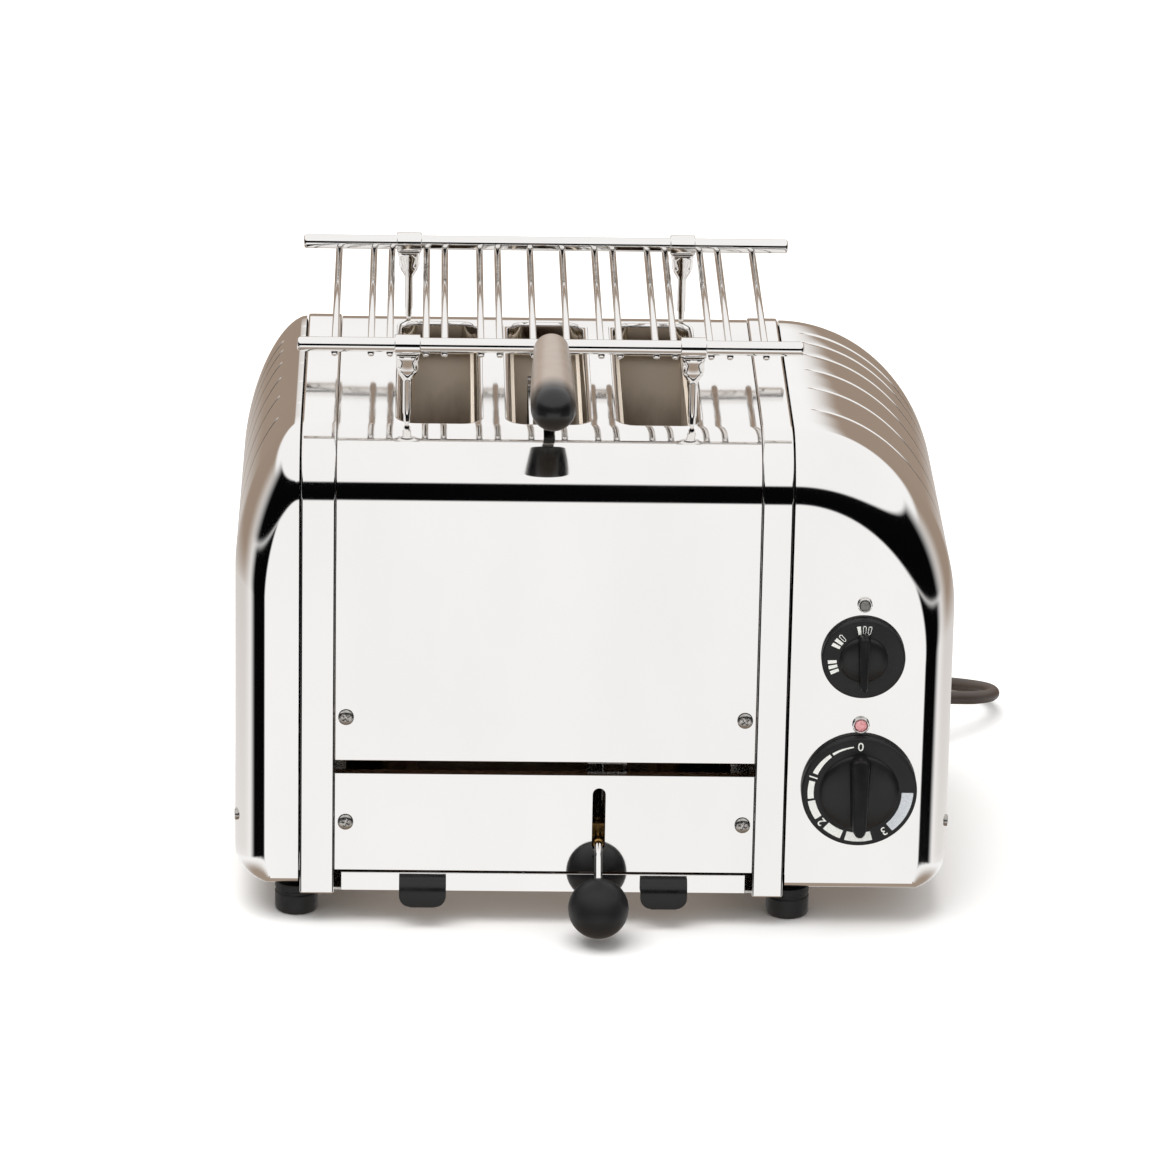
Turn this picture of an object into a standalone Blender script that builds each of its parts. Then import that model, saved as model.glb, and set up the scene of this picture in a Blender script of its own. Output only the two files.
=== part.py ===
"""Three-slot kitchen toaster with a lift lever, two dials, a sandwich cage and a warming rack.

Run with: blender --background --python part.py
Metres, +Z up. The front faces -Y. The origin is on the ground, at the middle of the toaster's
own box, which is measured without the mains lead.
"""

import math

import bmesh
import bpy
from mathutils import Vector

MM = 0.001

# Overall casing
BODY_WIDTH = 310 * MM
BODY_DEPTH = 198 * MM
BODY_TOP = 220 * MM
FOOT_HEIGHT = 14 * MM
SHEET = 1.2 * MM
PLATE = 1 * MM              # chassis and element frame
GAP = 0.3 * MM              # left between faces that touch
TOP_FILLET = 28 * MM        # radius where the front turns into the top

# Widths across the front, from left to right
LEFT_COVER_WIDTH = 28.5 * MM
LEFT_TRIM_WIDTH = 15 * MM
RIGHT_TRIM_WIDTH = 13.5 * MM
RIGHT_COVER_WIDTH = 72 * MM
TRIM_PROUD = 0.8 * MM

# End covers
COVER_WALL = 2 * MM
COVER_SIDE_INSET = 16 * MM  # from the flat front face out to the side
COVER_CORNER = 12 * MM      # lower outer corner
RIGHT_SHOULDER = (82 * MM, 2.0, 72 * MM)  # the curve's height, its roundness, its height on the face
LEFT_SHOULDER = (64 * MM, 1.7, 46 * MM)
FACE_BOTTOM = 2 * MM         # from the cover's lower edge up to the flat face

# Front panel, from the ground up
TRAY_LIP_TOP = 24 * MM
LOWER_PANEL_BOTTOM = 25.2 * MM
LOWER_PANEL_TOP = 70 * MM
UPPER_PANEL_BOTTOM = 76 * MM
LOWER_SCREW_Z = 47.5 * MM
UPPER_SCREW_Z = 96 * MM
SCREW_INSET = 4.8 * MM      # from the edge of the panel to the screws
SCREW_RADIUS = 3.4 * MM

# Bread slots
SLOT_PITCH = 47 * MM
SLOT_WIDTH = 33 * MM
SLOT_LENGTH = 138 * MM
SLOT_CORNER = 7 * MM
SLOT_NAMES = ("left", "middle", "right")

# Heating chamber
FRAME_PLATE_Y = 72 * MM     # from the middle to the plates that hold the elements
CHAMBER_BOTTOM = 90 * MM
CHAMBER_TOP = BODY_TOP - 14 * MM
GUARD_OFFSET = 14.6 * MM    # from the middle of a slot to its bread guards
GUARD_THICKNESS = 1.5 * MM
ELEMENT_THICKNESS = 2 * MM

# Lift
LIFT_TRAVEL = 22 * MM
LEVER_X = 2.6 * MM
LEVER_ROD_Z = 39 * MM
LEVER_ROD_RADIUS = 1.6 * MM
LEVER_SLOT_WIDTH = 5.5 * MM
LEVER_SLOT_SPARE = 2.8 * MM  # of slot beyond the rod at both ends of its travel
BALL_RADIUS = 13.1 * MM
BALL_REACH = 21 * MM
BALL_Z = 16.8 * MM
REST_TOP = 70 * MM
REST_WIDTH = 12 * MM
GUIDE_ROD_RADIUS = 2.5 * MM
GUIDE_ROD_SETBACK = 15 * MM  # behind the front face

# Controls on the right cover
CONTROL_INSET = 40.5 * MM    # from the right side
TIMER_Z = 65 * MM
TIMER_SKIRT = (25 * MM, 4 * MM)         # radius and depth
TIMER_HUB_RADIUS = 17.2 * MM
TIMER_BAR = (8.7 * MM, 35 * MM, 12 * MM)  # width, length and depth
NEON_Z = 94.7 * MM
SELECTOR_Z = 126 * MM
SELECTOR_SKIRT = (18 * MM, 3.4 * MM)
SELECTOR_HUB_RADIUS = 10.3 * MM
SELECTOR_BAR = (5 * MM, 24 * MM, 10 * MM)
BUTTON_Z = 149.8 * MM
SHAFT_RADIUS = 3 * MM
SHAFT_CLEARANCE = 0.5 * MM
SHAFT_TAIL = 3 * MM          # of each shaft behind the cover's wall
NEON_RADIUS = 2.5 * MM
BUTTON_RADIUS = 2 * MM
BEZEL_WIDTH = 0.9 * MM

# Crumb tray
TRAY_WALL = 1 * MM
TRAY_LENGTH = 180 * MM
TRAY_SIDE_CLEARANCE = 3 * MM
TAB_WIDTH = 20.3 * MM
TAB_SPACING = 104.4 * MM
TAB_DROP = 14 * MM
TAB_REACH = 6 * MM

# Warming rack
RAIL_RADIUS = 3.15 * MM
RAIL_LENGTH = 215.4 * MM
RAIL_Y = 72.4 * MM
RAIL_Z = BODY_TOP + 35.6 * MM
ROD_RADIUS = 1.5 * MM
ROD_WELD = 0.9 * MM          # of each rod sunk into the rails that it is welded to
ROD_MIDDLE_PITCH = 14.4 * MM
ROD_NARROW_PITCH = 8 * MM
ROD_WIDE_PITCH = 15.4 * MM
LEG_SPACING = 121.6 * MM
LEG_RADIUS = 1.7 * MM
LEG_TOP_RADIUS = 4.6 * MM
CLIP_WIDTH = 11 * MM

# Sandwich cage
CAGE_LENGTH = 112 * MM
CAGE_TOP = BODY_TOP - 20 * MM
CAGE_HALF_GAP = 6 * MM
CAGE_WIRE = 1.6 * MM
STEM_WIDTH = 5 * MM
STEM_THICKNESS = 1.8 * MM
STEM_Z = BODY_TOP + 2.8 * MM
STEM_FRONT = 80 * MM         # from the middle of the body out to the stem's upright
GRIP_Z = BODY_TOP + 39 * MM
GRIP_END_Z = BODY_TOP + 34.5 * MM
GRIP_LENGTH = 66 * MM
GRIP_BACK_RADIUS = 7.5 * MM
GRIP_FRONT_RADIUS = 9.5 * MM

# Feet
FOOT_RADIUS = 9.4 * MM
FOOT_Y = 82 * MM
FOOT_INSET = 27 * MM         # from the left side; the right feet stand under the right trim
RIGHT_FOOT_INSET = 69 * MM   # from the right side

# Mains lead
CORD_RADIUS = 3.1 * MM
GLAND_X = 124 * MM
GLAND_Z = 30 * MM
COIL_CENTRE = (62 * MM, 160.7 * MM)
COIL_INNER = 23.4 * MM
COIL_OUTER = 42.6 * MM
COIL_TOP = 12.9 * MM
PLUG_SIZE = (50 * MM, 48 * MM, 19 * MM)
PLUG_CENTRE = (-74 * MM, 204 * MM)
CORD_LEAD_ROUTE = (
    (141.0, 113.6, 26.0), (149.0, 117.0, 24.2), (160.0, 122.0, 21.8), (172.0, 129.6, 18.6),
    (184.0, 139.0, 15.0), (191.6, 149.0, 12.2), (194.2, 160.0, 9.6), (191.4, 171.0, 7.2),
    (184.4, 179.6, 5.2), (174.0, 185.6, 4.0), (160.0, 190.2, 3.5), (143.0, 194.2, 3.5),
    (124.0, 197.4, 3.5), (104.0, 199.6, 3.5), (85.0, 200.0, 3.5),
)
CORD_TAIL_ROUTE = (
    (39.0, 200.0, 9.6), (26.0, 200.6, 8.7), (10.0, 202.2, 7.4), (-8.0, 203.6, 7.6),
    (-26.0, 204.0, 9.5), (-38.2, 204.0, 9.5),
)

# Worked out from the values above
HALF_WIDTH = BODY_WIDTH / 2
HALF_DEPTH = BODY_DEPTH / 2
TRIM_LEFT = -HALF_WIDTH + LEFT_COVER_WIDTH
PANEL_LEFT = TRIM_LEFT + LEFT_TRIM_WIDTH
TRIM_RIGHT = HALF_WIDTH - RIGHT_COVER_WIDTH
PANEL_RIGHT = TRIM_RIGHT - RIGHT_TRIM_WIDTH
PANEL_MIDDLE = (PANEL_LEFT + PANEL_RIGHT) / 2
CONTROL_X = HALF_WIDTH - CONTROL_INSET
RIGHT_FOOT_X = HALF_WIDTH - RIGHT_FOOT_INSET
SLOT_XS = [PANEL_MIDDLE + i * SLOT_PITCH for i in (-1, 0, 1)]
PLATE_LEFT = TRIM_LEFT + LEFT_TRIM_WIDTH / 2
PLATE_RIGHT = TRIM_RIGHT - RIGHT_TRIM_WIDTH / 2
GRIP_START = STEM_FRONT + STEM_THICKNESS + 2 * MM
FRONT_REACH = GRIP_START + GRIP_LENGTH + GRIP_FRONT_RADIUS
REAR_REACH = HALF_DEPTH + TRIM_PROUD
BODY_Y = (FRONT_REACH - REAR_REACH) / 2  # moves the toaster so that its box is centred on the origin

PLANES = {"X": (1, 2, 0), "Y": (0, 2, 1), "Z": (0, 1, 2)}


# Modelling helpers: all lengths are measured from the middle of the casing until finish() moves them

def clear_scene():
    for obj in list(bpy.data.objects):
        bpy.data.objects.remove(obj, do_unlink=True)


def material(name, color, roughness, metallic=0.0):
    made = bpy.data.materials.get(name)
    if made is None:
        made = bpy.data.materials.new(name)
        made.use_nodes = True
        shader = made.node_tree.nodes["Principled BSDF"]
        shader.inputs["Base Color"].default_value = (*color, 1.0)
        shader.inputs["Roughness"].default_value = roughness
        shader.inputs["Metallic"].default_value = metallic
    return made


def polished_steel():
    return material("polished_steel", (0.78, 0.77, 0.75), 0.12, 1.0)


def plain_steel():
    return material("plain_steel", (0.55, 0.54, 0.52), 0.35, 1.0)


def chrome():
    return material("chrome", (0.85, 0.85, 0.86), 0.06, 1.0)


def brass():
    return material("brass", (0.72, 0.55, 0.3), 0.3, 1.0)


def black_plastic():
    return material("black_plastic", (0.02, 0.02, 0.022), 0.28)


def black_rubber():
    return material("black_rubber", (0.018, 0.018, 0.018), 0.7)


def mica():
    return material("mica", (0.62, 0.54, 0.42), 0.6)


def red_lens():
    return material("red_lens", (0.85, 0.3, 0.3), 0.15)


def finish(name, mesh_builder, finish_material, origin=(0, 0, 0)):
    """Makes the object from a bmesh in the casing's frame, with its origin at the given point."""
    origin = Vector(origin) + Vector((0, BODY_Y, 0))
    bmesh.ops.recalc_face_normals(mesh_builder, faces=mesh_builder.faces)
    mesh = bpy.data.meshes.new(name)
    for vert in mesh_builder.verts:
        vert.co += Vector((0, BODY_Y, 0)) - origin
    mesh_builder.to_mesh(mesh)
    mesh_builder.free()
    mesh.shade_smooth()
    mesh.set_sharp_from_angle(angle=math.radians(35))
    mesh.materials.append(finish_material)
    obj = bpy.data.objects.new(name, mesh)
    obj.location = origin
    bpy.context.scene.collection.objects.link(obj)
    return obj


def add_prism(bm, outline, axis, low, high):
    """Adds a closed outline, given in the two axes across, extruded from low to high along axis."""
    across, up, along = PLANES[axis]
    ends = []
    for level in (low, high):
        ring = []
        for a, b in outline:
            point = [0.0, 0.0, 0.0]
            point[across], point[up], point[along] = a, b, level
            ring.append(bm.verts.new(point))
        ends.append(ring)
    count = len(outline)
    for i in range(count):
        j = (i + 1) % count
        bm.faces.new((ends[0][i], ends[0][j], ends[1][j], ends[1][i]))
    bm.faces.new(ends[0][::-1])
    bm.faces.new(ends[1])


def prism(name, outline, axis, low, high, finish_material, origin=(0, 0, 0)):
    bm = bmesh.new()
    add_prism(bm, outline, axis, low, high)
    return finish(name, bm, finish_material, origin)


def rectangle(low_a, high_a, low_b, high_b):
    return [(low_a, low_b), (high_a, low_b), (high_a, high_b), (low_a, high_b)]


def box(name, low, high, finish_material, origin=(0, 0, 0)):
    outline = rectangle(low[0], high[0], low[1], high[1])
    return prism(name, outline, "Z", low[2], high[2], finish_material, origin)


def arc(centre, radius, start, end, steps):
    """Points on an arc, with its angles in degrees counterclockwise from the first axis."""
    points = []
    for i in range(steps + 1):
        angle = math.radians(start + (end - start) * i / steps)
        points.append((centre[0] + radius * math.cos(angle), centre[1] + radius * math.sin(angle)))
    return points


def rounded_rectangle(middle, width, height, radius, steps=4):
    a, b = width / 2 - radius, height / 2 - radius
    corners = ((a, b, 0), (-a, b, 90), (-a, -b, 180), (a, -b, 270))
    points = []
    for da, db, start in corners:
        points += arc((middle[0] + da, middle[1] + db), radius, start, start + 90, steps)
    return points


def add_turned(bm, profile, axis, centre, steps, ring=False):
    """Adds a profile of (radius, height) turned about axis. A ring profile is closed, off the axis."""
    across, up, along = PLANES[axis]
    rows = []
    for radius, height in profile:
        row = []
        for i in range(1 if radius == 0 else steps):
            angle = 2 * math.pi * i / steps
            point = list(centre)
            point[across] += radius * math.cos(angle)
            point[up] += radius * math.sin(angle)
            point[along] += height
            row.append(bm.verts.new(point))
        rows.append(row)
    pairs = list(zip(rows, rows[1:]))
    if ring:
        pairs.append((rows[-1], rows[0]))
    for first, second in pairs:
        for i in range(steps):
            j = (i + 1) % steps
            corners = [first[i % len(first)], first[j % len(first)],
                       second[j % len(second)], second[i % len(second)]]
            distinct = list(dict.fromkeys(corners))
            if len(distinct) > 2:
                bm.faces.new(distinct)


def turned(name, profile, axis, centre, finish_material, steps=24, ring=False, origin=None):
    bm = bmesh.new()
    add_turned(bm, profile, axis, centre, steps, ring)
    return finish(name, bm, finish_material, centre if origin is None else origin)


def cylinder(name, radius, axis, centre, low, high, finish_material, steps=20, origin=None):
    profile = [(0, low), (radius, low), (radius, high), (0, high)]
    return turned(name, profile, axis, centre, finish_material, steps, origin=origin)


def cut(obj, cutter):
    """Takes the cutter out of the object. The cutter stays as a hidden guide."""
    add_boolean(obj, cutter, "DIFFERENCE")


def join(obj, other):
    """Welds the other shape, which stays as a hidden guide, to the object."""
    add_boolean(obj, other, "UNION")


def add_boolean(obj, other, operation):
    other.hide_render = True
    other.display_type = "WIRE"
    modifier = obj.modifiers.new(other.name, "BOOLEAN")
    modifier.operation = operation
    modifier.solver = "EXACT"
    modifier.object = other


def tube(name, points, radius, finish_material, resolution=2):
    """A round tube with flat ends along the points, which are in metres from the middle of the casing."""
    curve = bpy.data.curves.new(name, "CURVE")
    curve.dimensions = "3D"
    curve.bevel_depth = radius
    curve.bevel_resolution = resolution
    curve.use_fill_caps = True
    spline = curve.splines.new("POLY")
    spline.points.add(len(points) - 1)
    for spline_point, point in zip(spline.points, points):
        spline_point.co = (point[0], point[1] + BODY_Y, point[2], 1.0)
    curve.materials.append(finish_material)
    obj = bpy.data.objects.new(name, curve)
    bpy.context.scene.collection.objects.link(obj)
    return obj


def smooth_route(route, steps):
    """Points along a Catmull-Rom curve through a route given in millimetres."""
    knots = [Vector(p) * MM for p in route]
    knots = [2 * knots[0] - knots[1]] + knots + [2 * knots[-1] - knots[-2]]
    points = []
    for before, start, end, after in zip(knots, knots[1:], knots[2:], knots[3:]):
        for i in range(steps):
            t = i / steps
            points.append(0.5 * (2 * start + (end - before) * t
                                 + (2 * before - 5 * start + 4 * end - after) * t ** 2
                                 + (3 * start - before - 3 * end + after) * t ** 3))
    points.append(knots[-2])
    return points


# Casing

def arch_outline(proud, front_bottom, rear_bottom, thickness):
    """The band seen from the side: up the front, over the top and down the rear."""
    def path(offset):
        depth = HALF_DEPTH + offset
        top = BODY_TOP + offset
        radius = TOP_FILLET + offset
        return ([(-depth, front_bottom)]
                + arc((-depth + radius, top - radius), radius, 180, 90, 8)
                + arc((depth - radius, top - radius), radius, 90, 0, 8)
                + [(depth, rear_bottom)])
    return path(proud) + path(proud - thickness)[::-1]


def make_top_shell():
    outline = arch_outline(0, UPPER_PANEL_BOTTOM, TRAY_LIP_TOP + 2 * MM, SHEET)
    shell = prism("top_shell", outline, "X", PANEL_LEFT + GAP / 2, PANEL_RIGHT - GAP / 2,
                  polished_steel())
    for label, x in zip(SLOT_NAMES, SLOT_XS):
        hole = rounded_rectangle((x, 0), SLOT_WIDTH, SLOT_LENGTH, SLOT_CORNER)
        cutter = prism("cut_slot_" + label, hole, "Z", BODY_TOP - 15 * MM, BODY_TOP + 5 * MM,
                       plain_steel())
        cut(shell, cutter)


def make_lower_panel():
    """The front panel under the gap, with a lip turned in at its top edge and the lever's slot."""
    lip = 5 * MM
    y = -HALF_DEPTH
    outline = [(y, LOWER_PANEL_BOTTOM), (y + SHEET, LOWER_PANEL_BOTTOM),
               (y + SHEET, LOWER_PANEL_TOP - SHEET), (y + lip, LOWER_PANEL_TOP - SHEET),
               (y + lip, LOWER_PANEL_TOP), (y, LOWER_PANEL_TOP)]
    panel = prism("lower_front_panel", outline, "X", PANEL_LEFT + GAP / 2, PANEL_RIGHT - GAP / 2,
                  polished_steel())
    low = LEVER_ROD_Z - LEVER_ROD_RADIUS - LEVER_SLOT_SPARE
    high = LEVER_ROD_Z + LIFT_TRAVEL + LEVER_ROD_RADIUS + LEVER_SLOT_SPARE / 2
    hole = rounded_rectangle((LEVER_X, (low + high) / 2), LEVER_SLOT_WIDTH, high - low,
                             LEVER_SLOT_WIDTH / 2 - 0.01 * MM, 6)
    cut(panel, prism("cut_lever_slot", hole, "Y", y - 5 * MM, y + 3 * MM, plain_steel()))


def make_trims():
    outline = arch_outline(TRIM_PROUD, FOOT_HEIGHT, FOOT_HEIGHT, SHEET + TRIM_PROUD)
    prism("left_trim_band", outline, "X", TRIM_LEFT + GAP / 2, PANEL_LEFT - GAP / 2,
          polished_steel())
    prism("right_trim_band", outline, "X", PANEL_RIGHT + GAP / 2, TRIM_RIGHT - GAP / 2,
          polished_steel())


def shoulder(start_x, start_z, reach, drop, roundness, sign, steps):
    """A quarter of a superellipse from the top, level, down to the side, upright."""
    points = []
    for i in range(steps + 1):
        angle = math.pi / 2 * i / steps
        points.append((start_x + sign * reach * math.sin(angle) ** (2 / roundness),
                       start_z - drop * (1 - math.cos(angle) ** (2 / roundness))))
    return points


def cover_curves(start_x, width, curve, sign, wall):
    """The cover's outline at its widest and the outline of its flat front face, point for point."""
    drop, roundness, face_drop = curve
    steps, corner_steps = 12, 4
    side = start_x + sign * (width - wall)
    face_side = start_x + sign * (width - COVER_SIDE_INSET)
    bottom = FOOT_HEIGHT + wall
    corner = COVER_CORNER - wall
    outline = shoulder(start_x, BODY_TOP - wall, width - wall, drop, roundness, sign, steps)
    face = shoulder(start_x, BODY_TOP - TOP_FILLET, width - COVER_SIDE_INSET, face_drop, roundness,
                    sign, steps)
    lowest = bottom + FACE_BOTTOM
    for i, (a, b) in enumerate(arc((0, 0), corner, 0, -90, corner_steps)):
        outline.append((side - sign * corner + sign * a, bottom + corner + b))
        face.append((face_side, lowest + corner * (1 - i / corner_steps)))
    outline.append((start_x, bottom))
    face.append((start_x, lowest))
    return outline, face


def add_cover_skin(bm, start_x, width, curve, sign, wall):
    """Adds one skin of a cover and returns its rim, the closed loop in the plane of the joint."""
    outline, face = cover_curves(start_x, width, curve, sign, wall)
    depth = HALF_DEPTH - wall
    blend = TOP_FILLET - wall
    steps = 7
    rows = []
    for (ox, oz), (fx, fz) in zip(outline, face):
        half = []
        for i in range(steps + 1):
            angle = math.pi / 2 * i / steps
            share = math.cos(angle)
            half.append((fx + (ox - fx) * share, depth - blend + blend * math.sin(angle),
                         fz + (oz - fz) * share))
        front = [(x, -y, z) for x, y, z in half[::-1]]
        rows.append([bm.verts.new(p) for p in front + half])
    for first, second in zip(rows, rows[1:]):
        for i in range(len(first) - 1):
            bm.faces.new((first[i], first[i + 1], second[i + 1], second[i]))
    bm.faces.new([row[0] for row in rows])
    bm.faces.new([row[-1] for row in rows][::-1])
    return rows[0] + rows[-1][::-1]


def make_cover(name, start_x, width, curve, sign):
    bm = bmesh.new()
    outer = add_cover_skin(bm, start_x, width, curve, sign, 0)
    inner = add_cover_skin(bm, start_x, width, curve, sign, COVER_WALL)
    for i in range(len(outer)):
        j = (i + 1) % len(outer)
        bm.faces.new((outer[i], outer[j], inner[j], inner[i]))
    return finish(name, bm, polished_steel())


def make_covers():
    make_cover("left_end_cover", TRIM_LEFT - GAP / 2, LEFT_COVER_WIDTH - GAP / 2,
               LEFT_SHOULDER, -1)
    right = make_cover("right_end_cover", TRIM_RIGHT + GAP / 2, RIGHT_COVER_WIDTH - GAP / 2,
                       RIGHT_SHOULDER, 1)
    holes = (("timer", TIMER_Z, SHAFT_RADIUS + SHAFT_CLEARANCE),
             ("selector", SELECTOR_Z, SHAFT_RADIUS + SHAFT_CLEARANCE),
             ("neon", NEON_Z, NEON_RADIUS + GAP),
             ("button", BUTTON_Z, BUTTON_RADIUS + GAP))
    for label, z, radius in holes:
        cutter = cylinder("cut_" + label, radius, "Y", (CONTROL_X, -HALF_DEPTH, z),
                          -5 * MM, 8 * MM, plain_steel(), 16)
        cut(right, cutter)
    outlet = cylinder("cut_outlet", CORD_RADIUS + 1.5 * MM, "Y", (GLAND_X, HALF_DEPTH, GLAND_Z),
                      -8 * MM, 5 * MM, plain_steel(), 16)
    cut(right, outlet)


def make_chassis():
    """The base with its two end plates, and the frame across them that holds the elements."""
    inset = SHEET + GAP
    outline = arch_outline(-inset, FOOT_HEIGHT, FOOT_HEIGHT, 0)
    upright = outline[:len(outline) // 2]
    bm = bmesh.new()
    for x in (PLATE_LEFT, PLATE_RIGHT):
        add_prism(bm, upright, "X", x - PLATE / 2, x + PLATE / 2)
    ends = finish("join_end_plates", bm, plain_steel())
    base = box("chassis", (PLATE_LEFT, -HALF_DEPTH + 4 * MM, FOOT_HEIGHT + 0.1 * MM),
               (PLATE_RIGHT, HALF_DEPTH - 4 * MM, FOOT_HEIGHT + SHEET), plain_steel())
    window = box("cut_crumb_window", (PANEL_LEFT + 14 * MM, -HALF_DEPTH, 0),
                 (PANEL_RIGHT - 14 * MM, HALF_DEPTH - 16 * MM, FOOT_HEIGHT + 9 * MM), plain_steel())
    cut(base, window)
    join(base, ends)
    low_x = PLATE_LEFT + PLATE / 2 + GAP
    high_x = PLATE_RIGHT - PLATE / 2 - GAP
    half_y = FRAME_PLATE_Y + PLATE / 2
    low_z = CHAMBER_BOTTOM - 16 * MM
    frame = box("element_frame", (low_x, -half_y, low_z), (high_x, half_y, CHAMBER_TOP), plain_steel())
    inside = box("cut_frame_inside", (low_x + PLATE, PLATE - half_y, low_z - PLATE),
                 (high_x - PLATE, half_y - PLATE, CHAMBER_TOP + PLATE), plain_steel())
    cut(frame, inside)


def screw_profile():
    head = 1.5 * MM
    return [(0, 0), (SCREW_RADIUS, 0), (SCREW_RADIUS, head * 0.35), (SCREW_RADIUS * 0.75, head * 0.8),
            (SCREW_RADIUS * 0.3, head), (0, head)]


def make_screws():
    profile = [(r, -h) for r, h in screw_profile()]
    for x_label, x in (("left", PANEL_LEFT + SCREW_INSET), ("right", PANEL_RIGHT - SCREW_INSET)):
        for z_label, z in (("lower", LOWER_SCREW_Z), ("upper", UPPER_SCREW_Z)):
            turned(f"panel_screw_{z_label}_{x_label}", profile, "Y", (x, -HALF_DEPTH - GAP, z),
                   plain_steel(), 14)


def make_feet():
    profile = [(0, 0), (FOOT_RADIUS - 1 * MM, 0), (FOOT_RADIUS, 1.2 * MM),
               (FOOT_RADIUS, FOOT_HEIGHT - GAP), (0, FOOT_HEIGHT - GAP)]
    for x_label, x in (("left", -HALF_WIDTH + FOOT_INSET), ("right", RIGHT_FOOT_X)):
        for y_label, y in (("front", -FOOT_Y), ("rear", FOOT_Y)):
            turned(f"foot_{y_label}_{x_label}", profile, "Z", (x, y, 0), black_rubber(), 20)


# Heating chamber

def add_ladder(bm, low_x, high_x, half_length, low_z, high_z, bars, bar):
    """A flat grid: a frame with upright bars, made as one plate with windows that open between them."""
    along = [-half_length + (2 * half_length - bar) * i / (bars - 1) for i in range(bars)]
    rungs = (low_z, high_z - bar)
    ys = sorted([y for start in along for y in (start, start + bar)])
    zs = sorted([z for start in rungs for z in (start, start + bar)])
    verts = {}

    def vert(i, j, side):
        key = (i, j, side)
        if key not in verts:
            verts[key] = bm.verts.new(((low_x, high_x)[side], ys[i], zs[j]))
        return verts[key]

    def solid(i, j):
        if not (0 <= i < len(ys) - 1 and 0 <= j < len(zs) - 1):
            return False
        return i % 2 == 0 or j % 2 == 0

    for i in range(len(ys) - 1):
        for j in range(len(zs) - 1):
            if not solid(i, j):
                continue
            corners = ((i, j), (i + 1, j), (i + 1, j + 1), (i, j + 1))
            for side in (0, 1):
                bm.faces.new([vert(a, b, side) for a, b in corners])
            for k, (di, dj) in enumerate(((0, -1), (1, 0), (0, 1), (-1, 0))):
                if solid(i + di, j + dj):
                    continue
                first, second = corners[k], corners[(k + 1) % 4]
                bm.faces.new((vert(*first, 0), vert(*second, 0), vert(*second, 1), vert(*first, 1)))


def make_chamber():
    half_length = FRAME_PLATE_Y - SHEET / 2 - GAP
    xs = [SLOT_XS[0] - SLOT_PITCH / 2 + SLOT_PITCH * i for i in range(4)]
    for i, x in enumerate(xs):
        box(f"heating_element_{i + 1}", (x - ELEMENT_THICKNESS / 2, -half_length, CHAMBER_BOTTOM + 4 * MM),
            (x + ELEMENT_THICKNESS / 2, half_length, CHAMBER_TOP - 8 * MM), mica())
    for label, x in zip(SLOT_NAMES, SLOT_XS):
        grids, ties = bmesh.new(), bmesh.new()
        for sign in (-1, 1):
            middle = x + sign * GUARD_OFFSET
            add_ladder(grids, middle - GUARD_THICKNESS / 2, middle + GUARD_THICKNESS / 2, half_length,
                       CHAMBER_BOTTOM, CHAMBER_TOP, 6, 2 * MM)
            end = sign * (half_length - 1 * MM)
            outline = rectangle(x - GUARD_OFFSET, x + GUARD_OFFSET, end - 0.7 * MM, end + 0.7 * MM)
            for z in (CHAMBER_BOTTOM + 0.4 * MM, CHAMBER_TOP - 1.6 * MM):
                add_prism(ties, outline, "Z", z, z + 1.2 * MM)
        guards = finish("bread_guards_" + label, grids, plain_steel())
        join(guards, finish("join_guards_" + label, ties, plain_steel()))


# Lift

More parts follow.
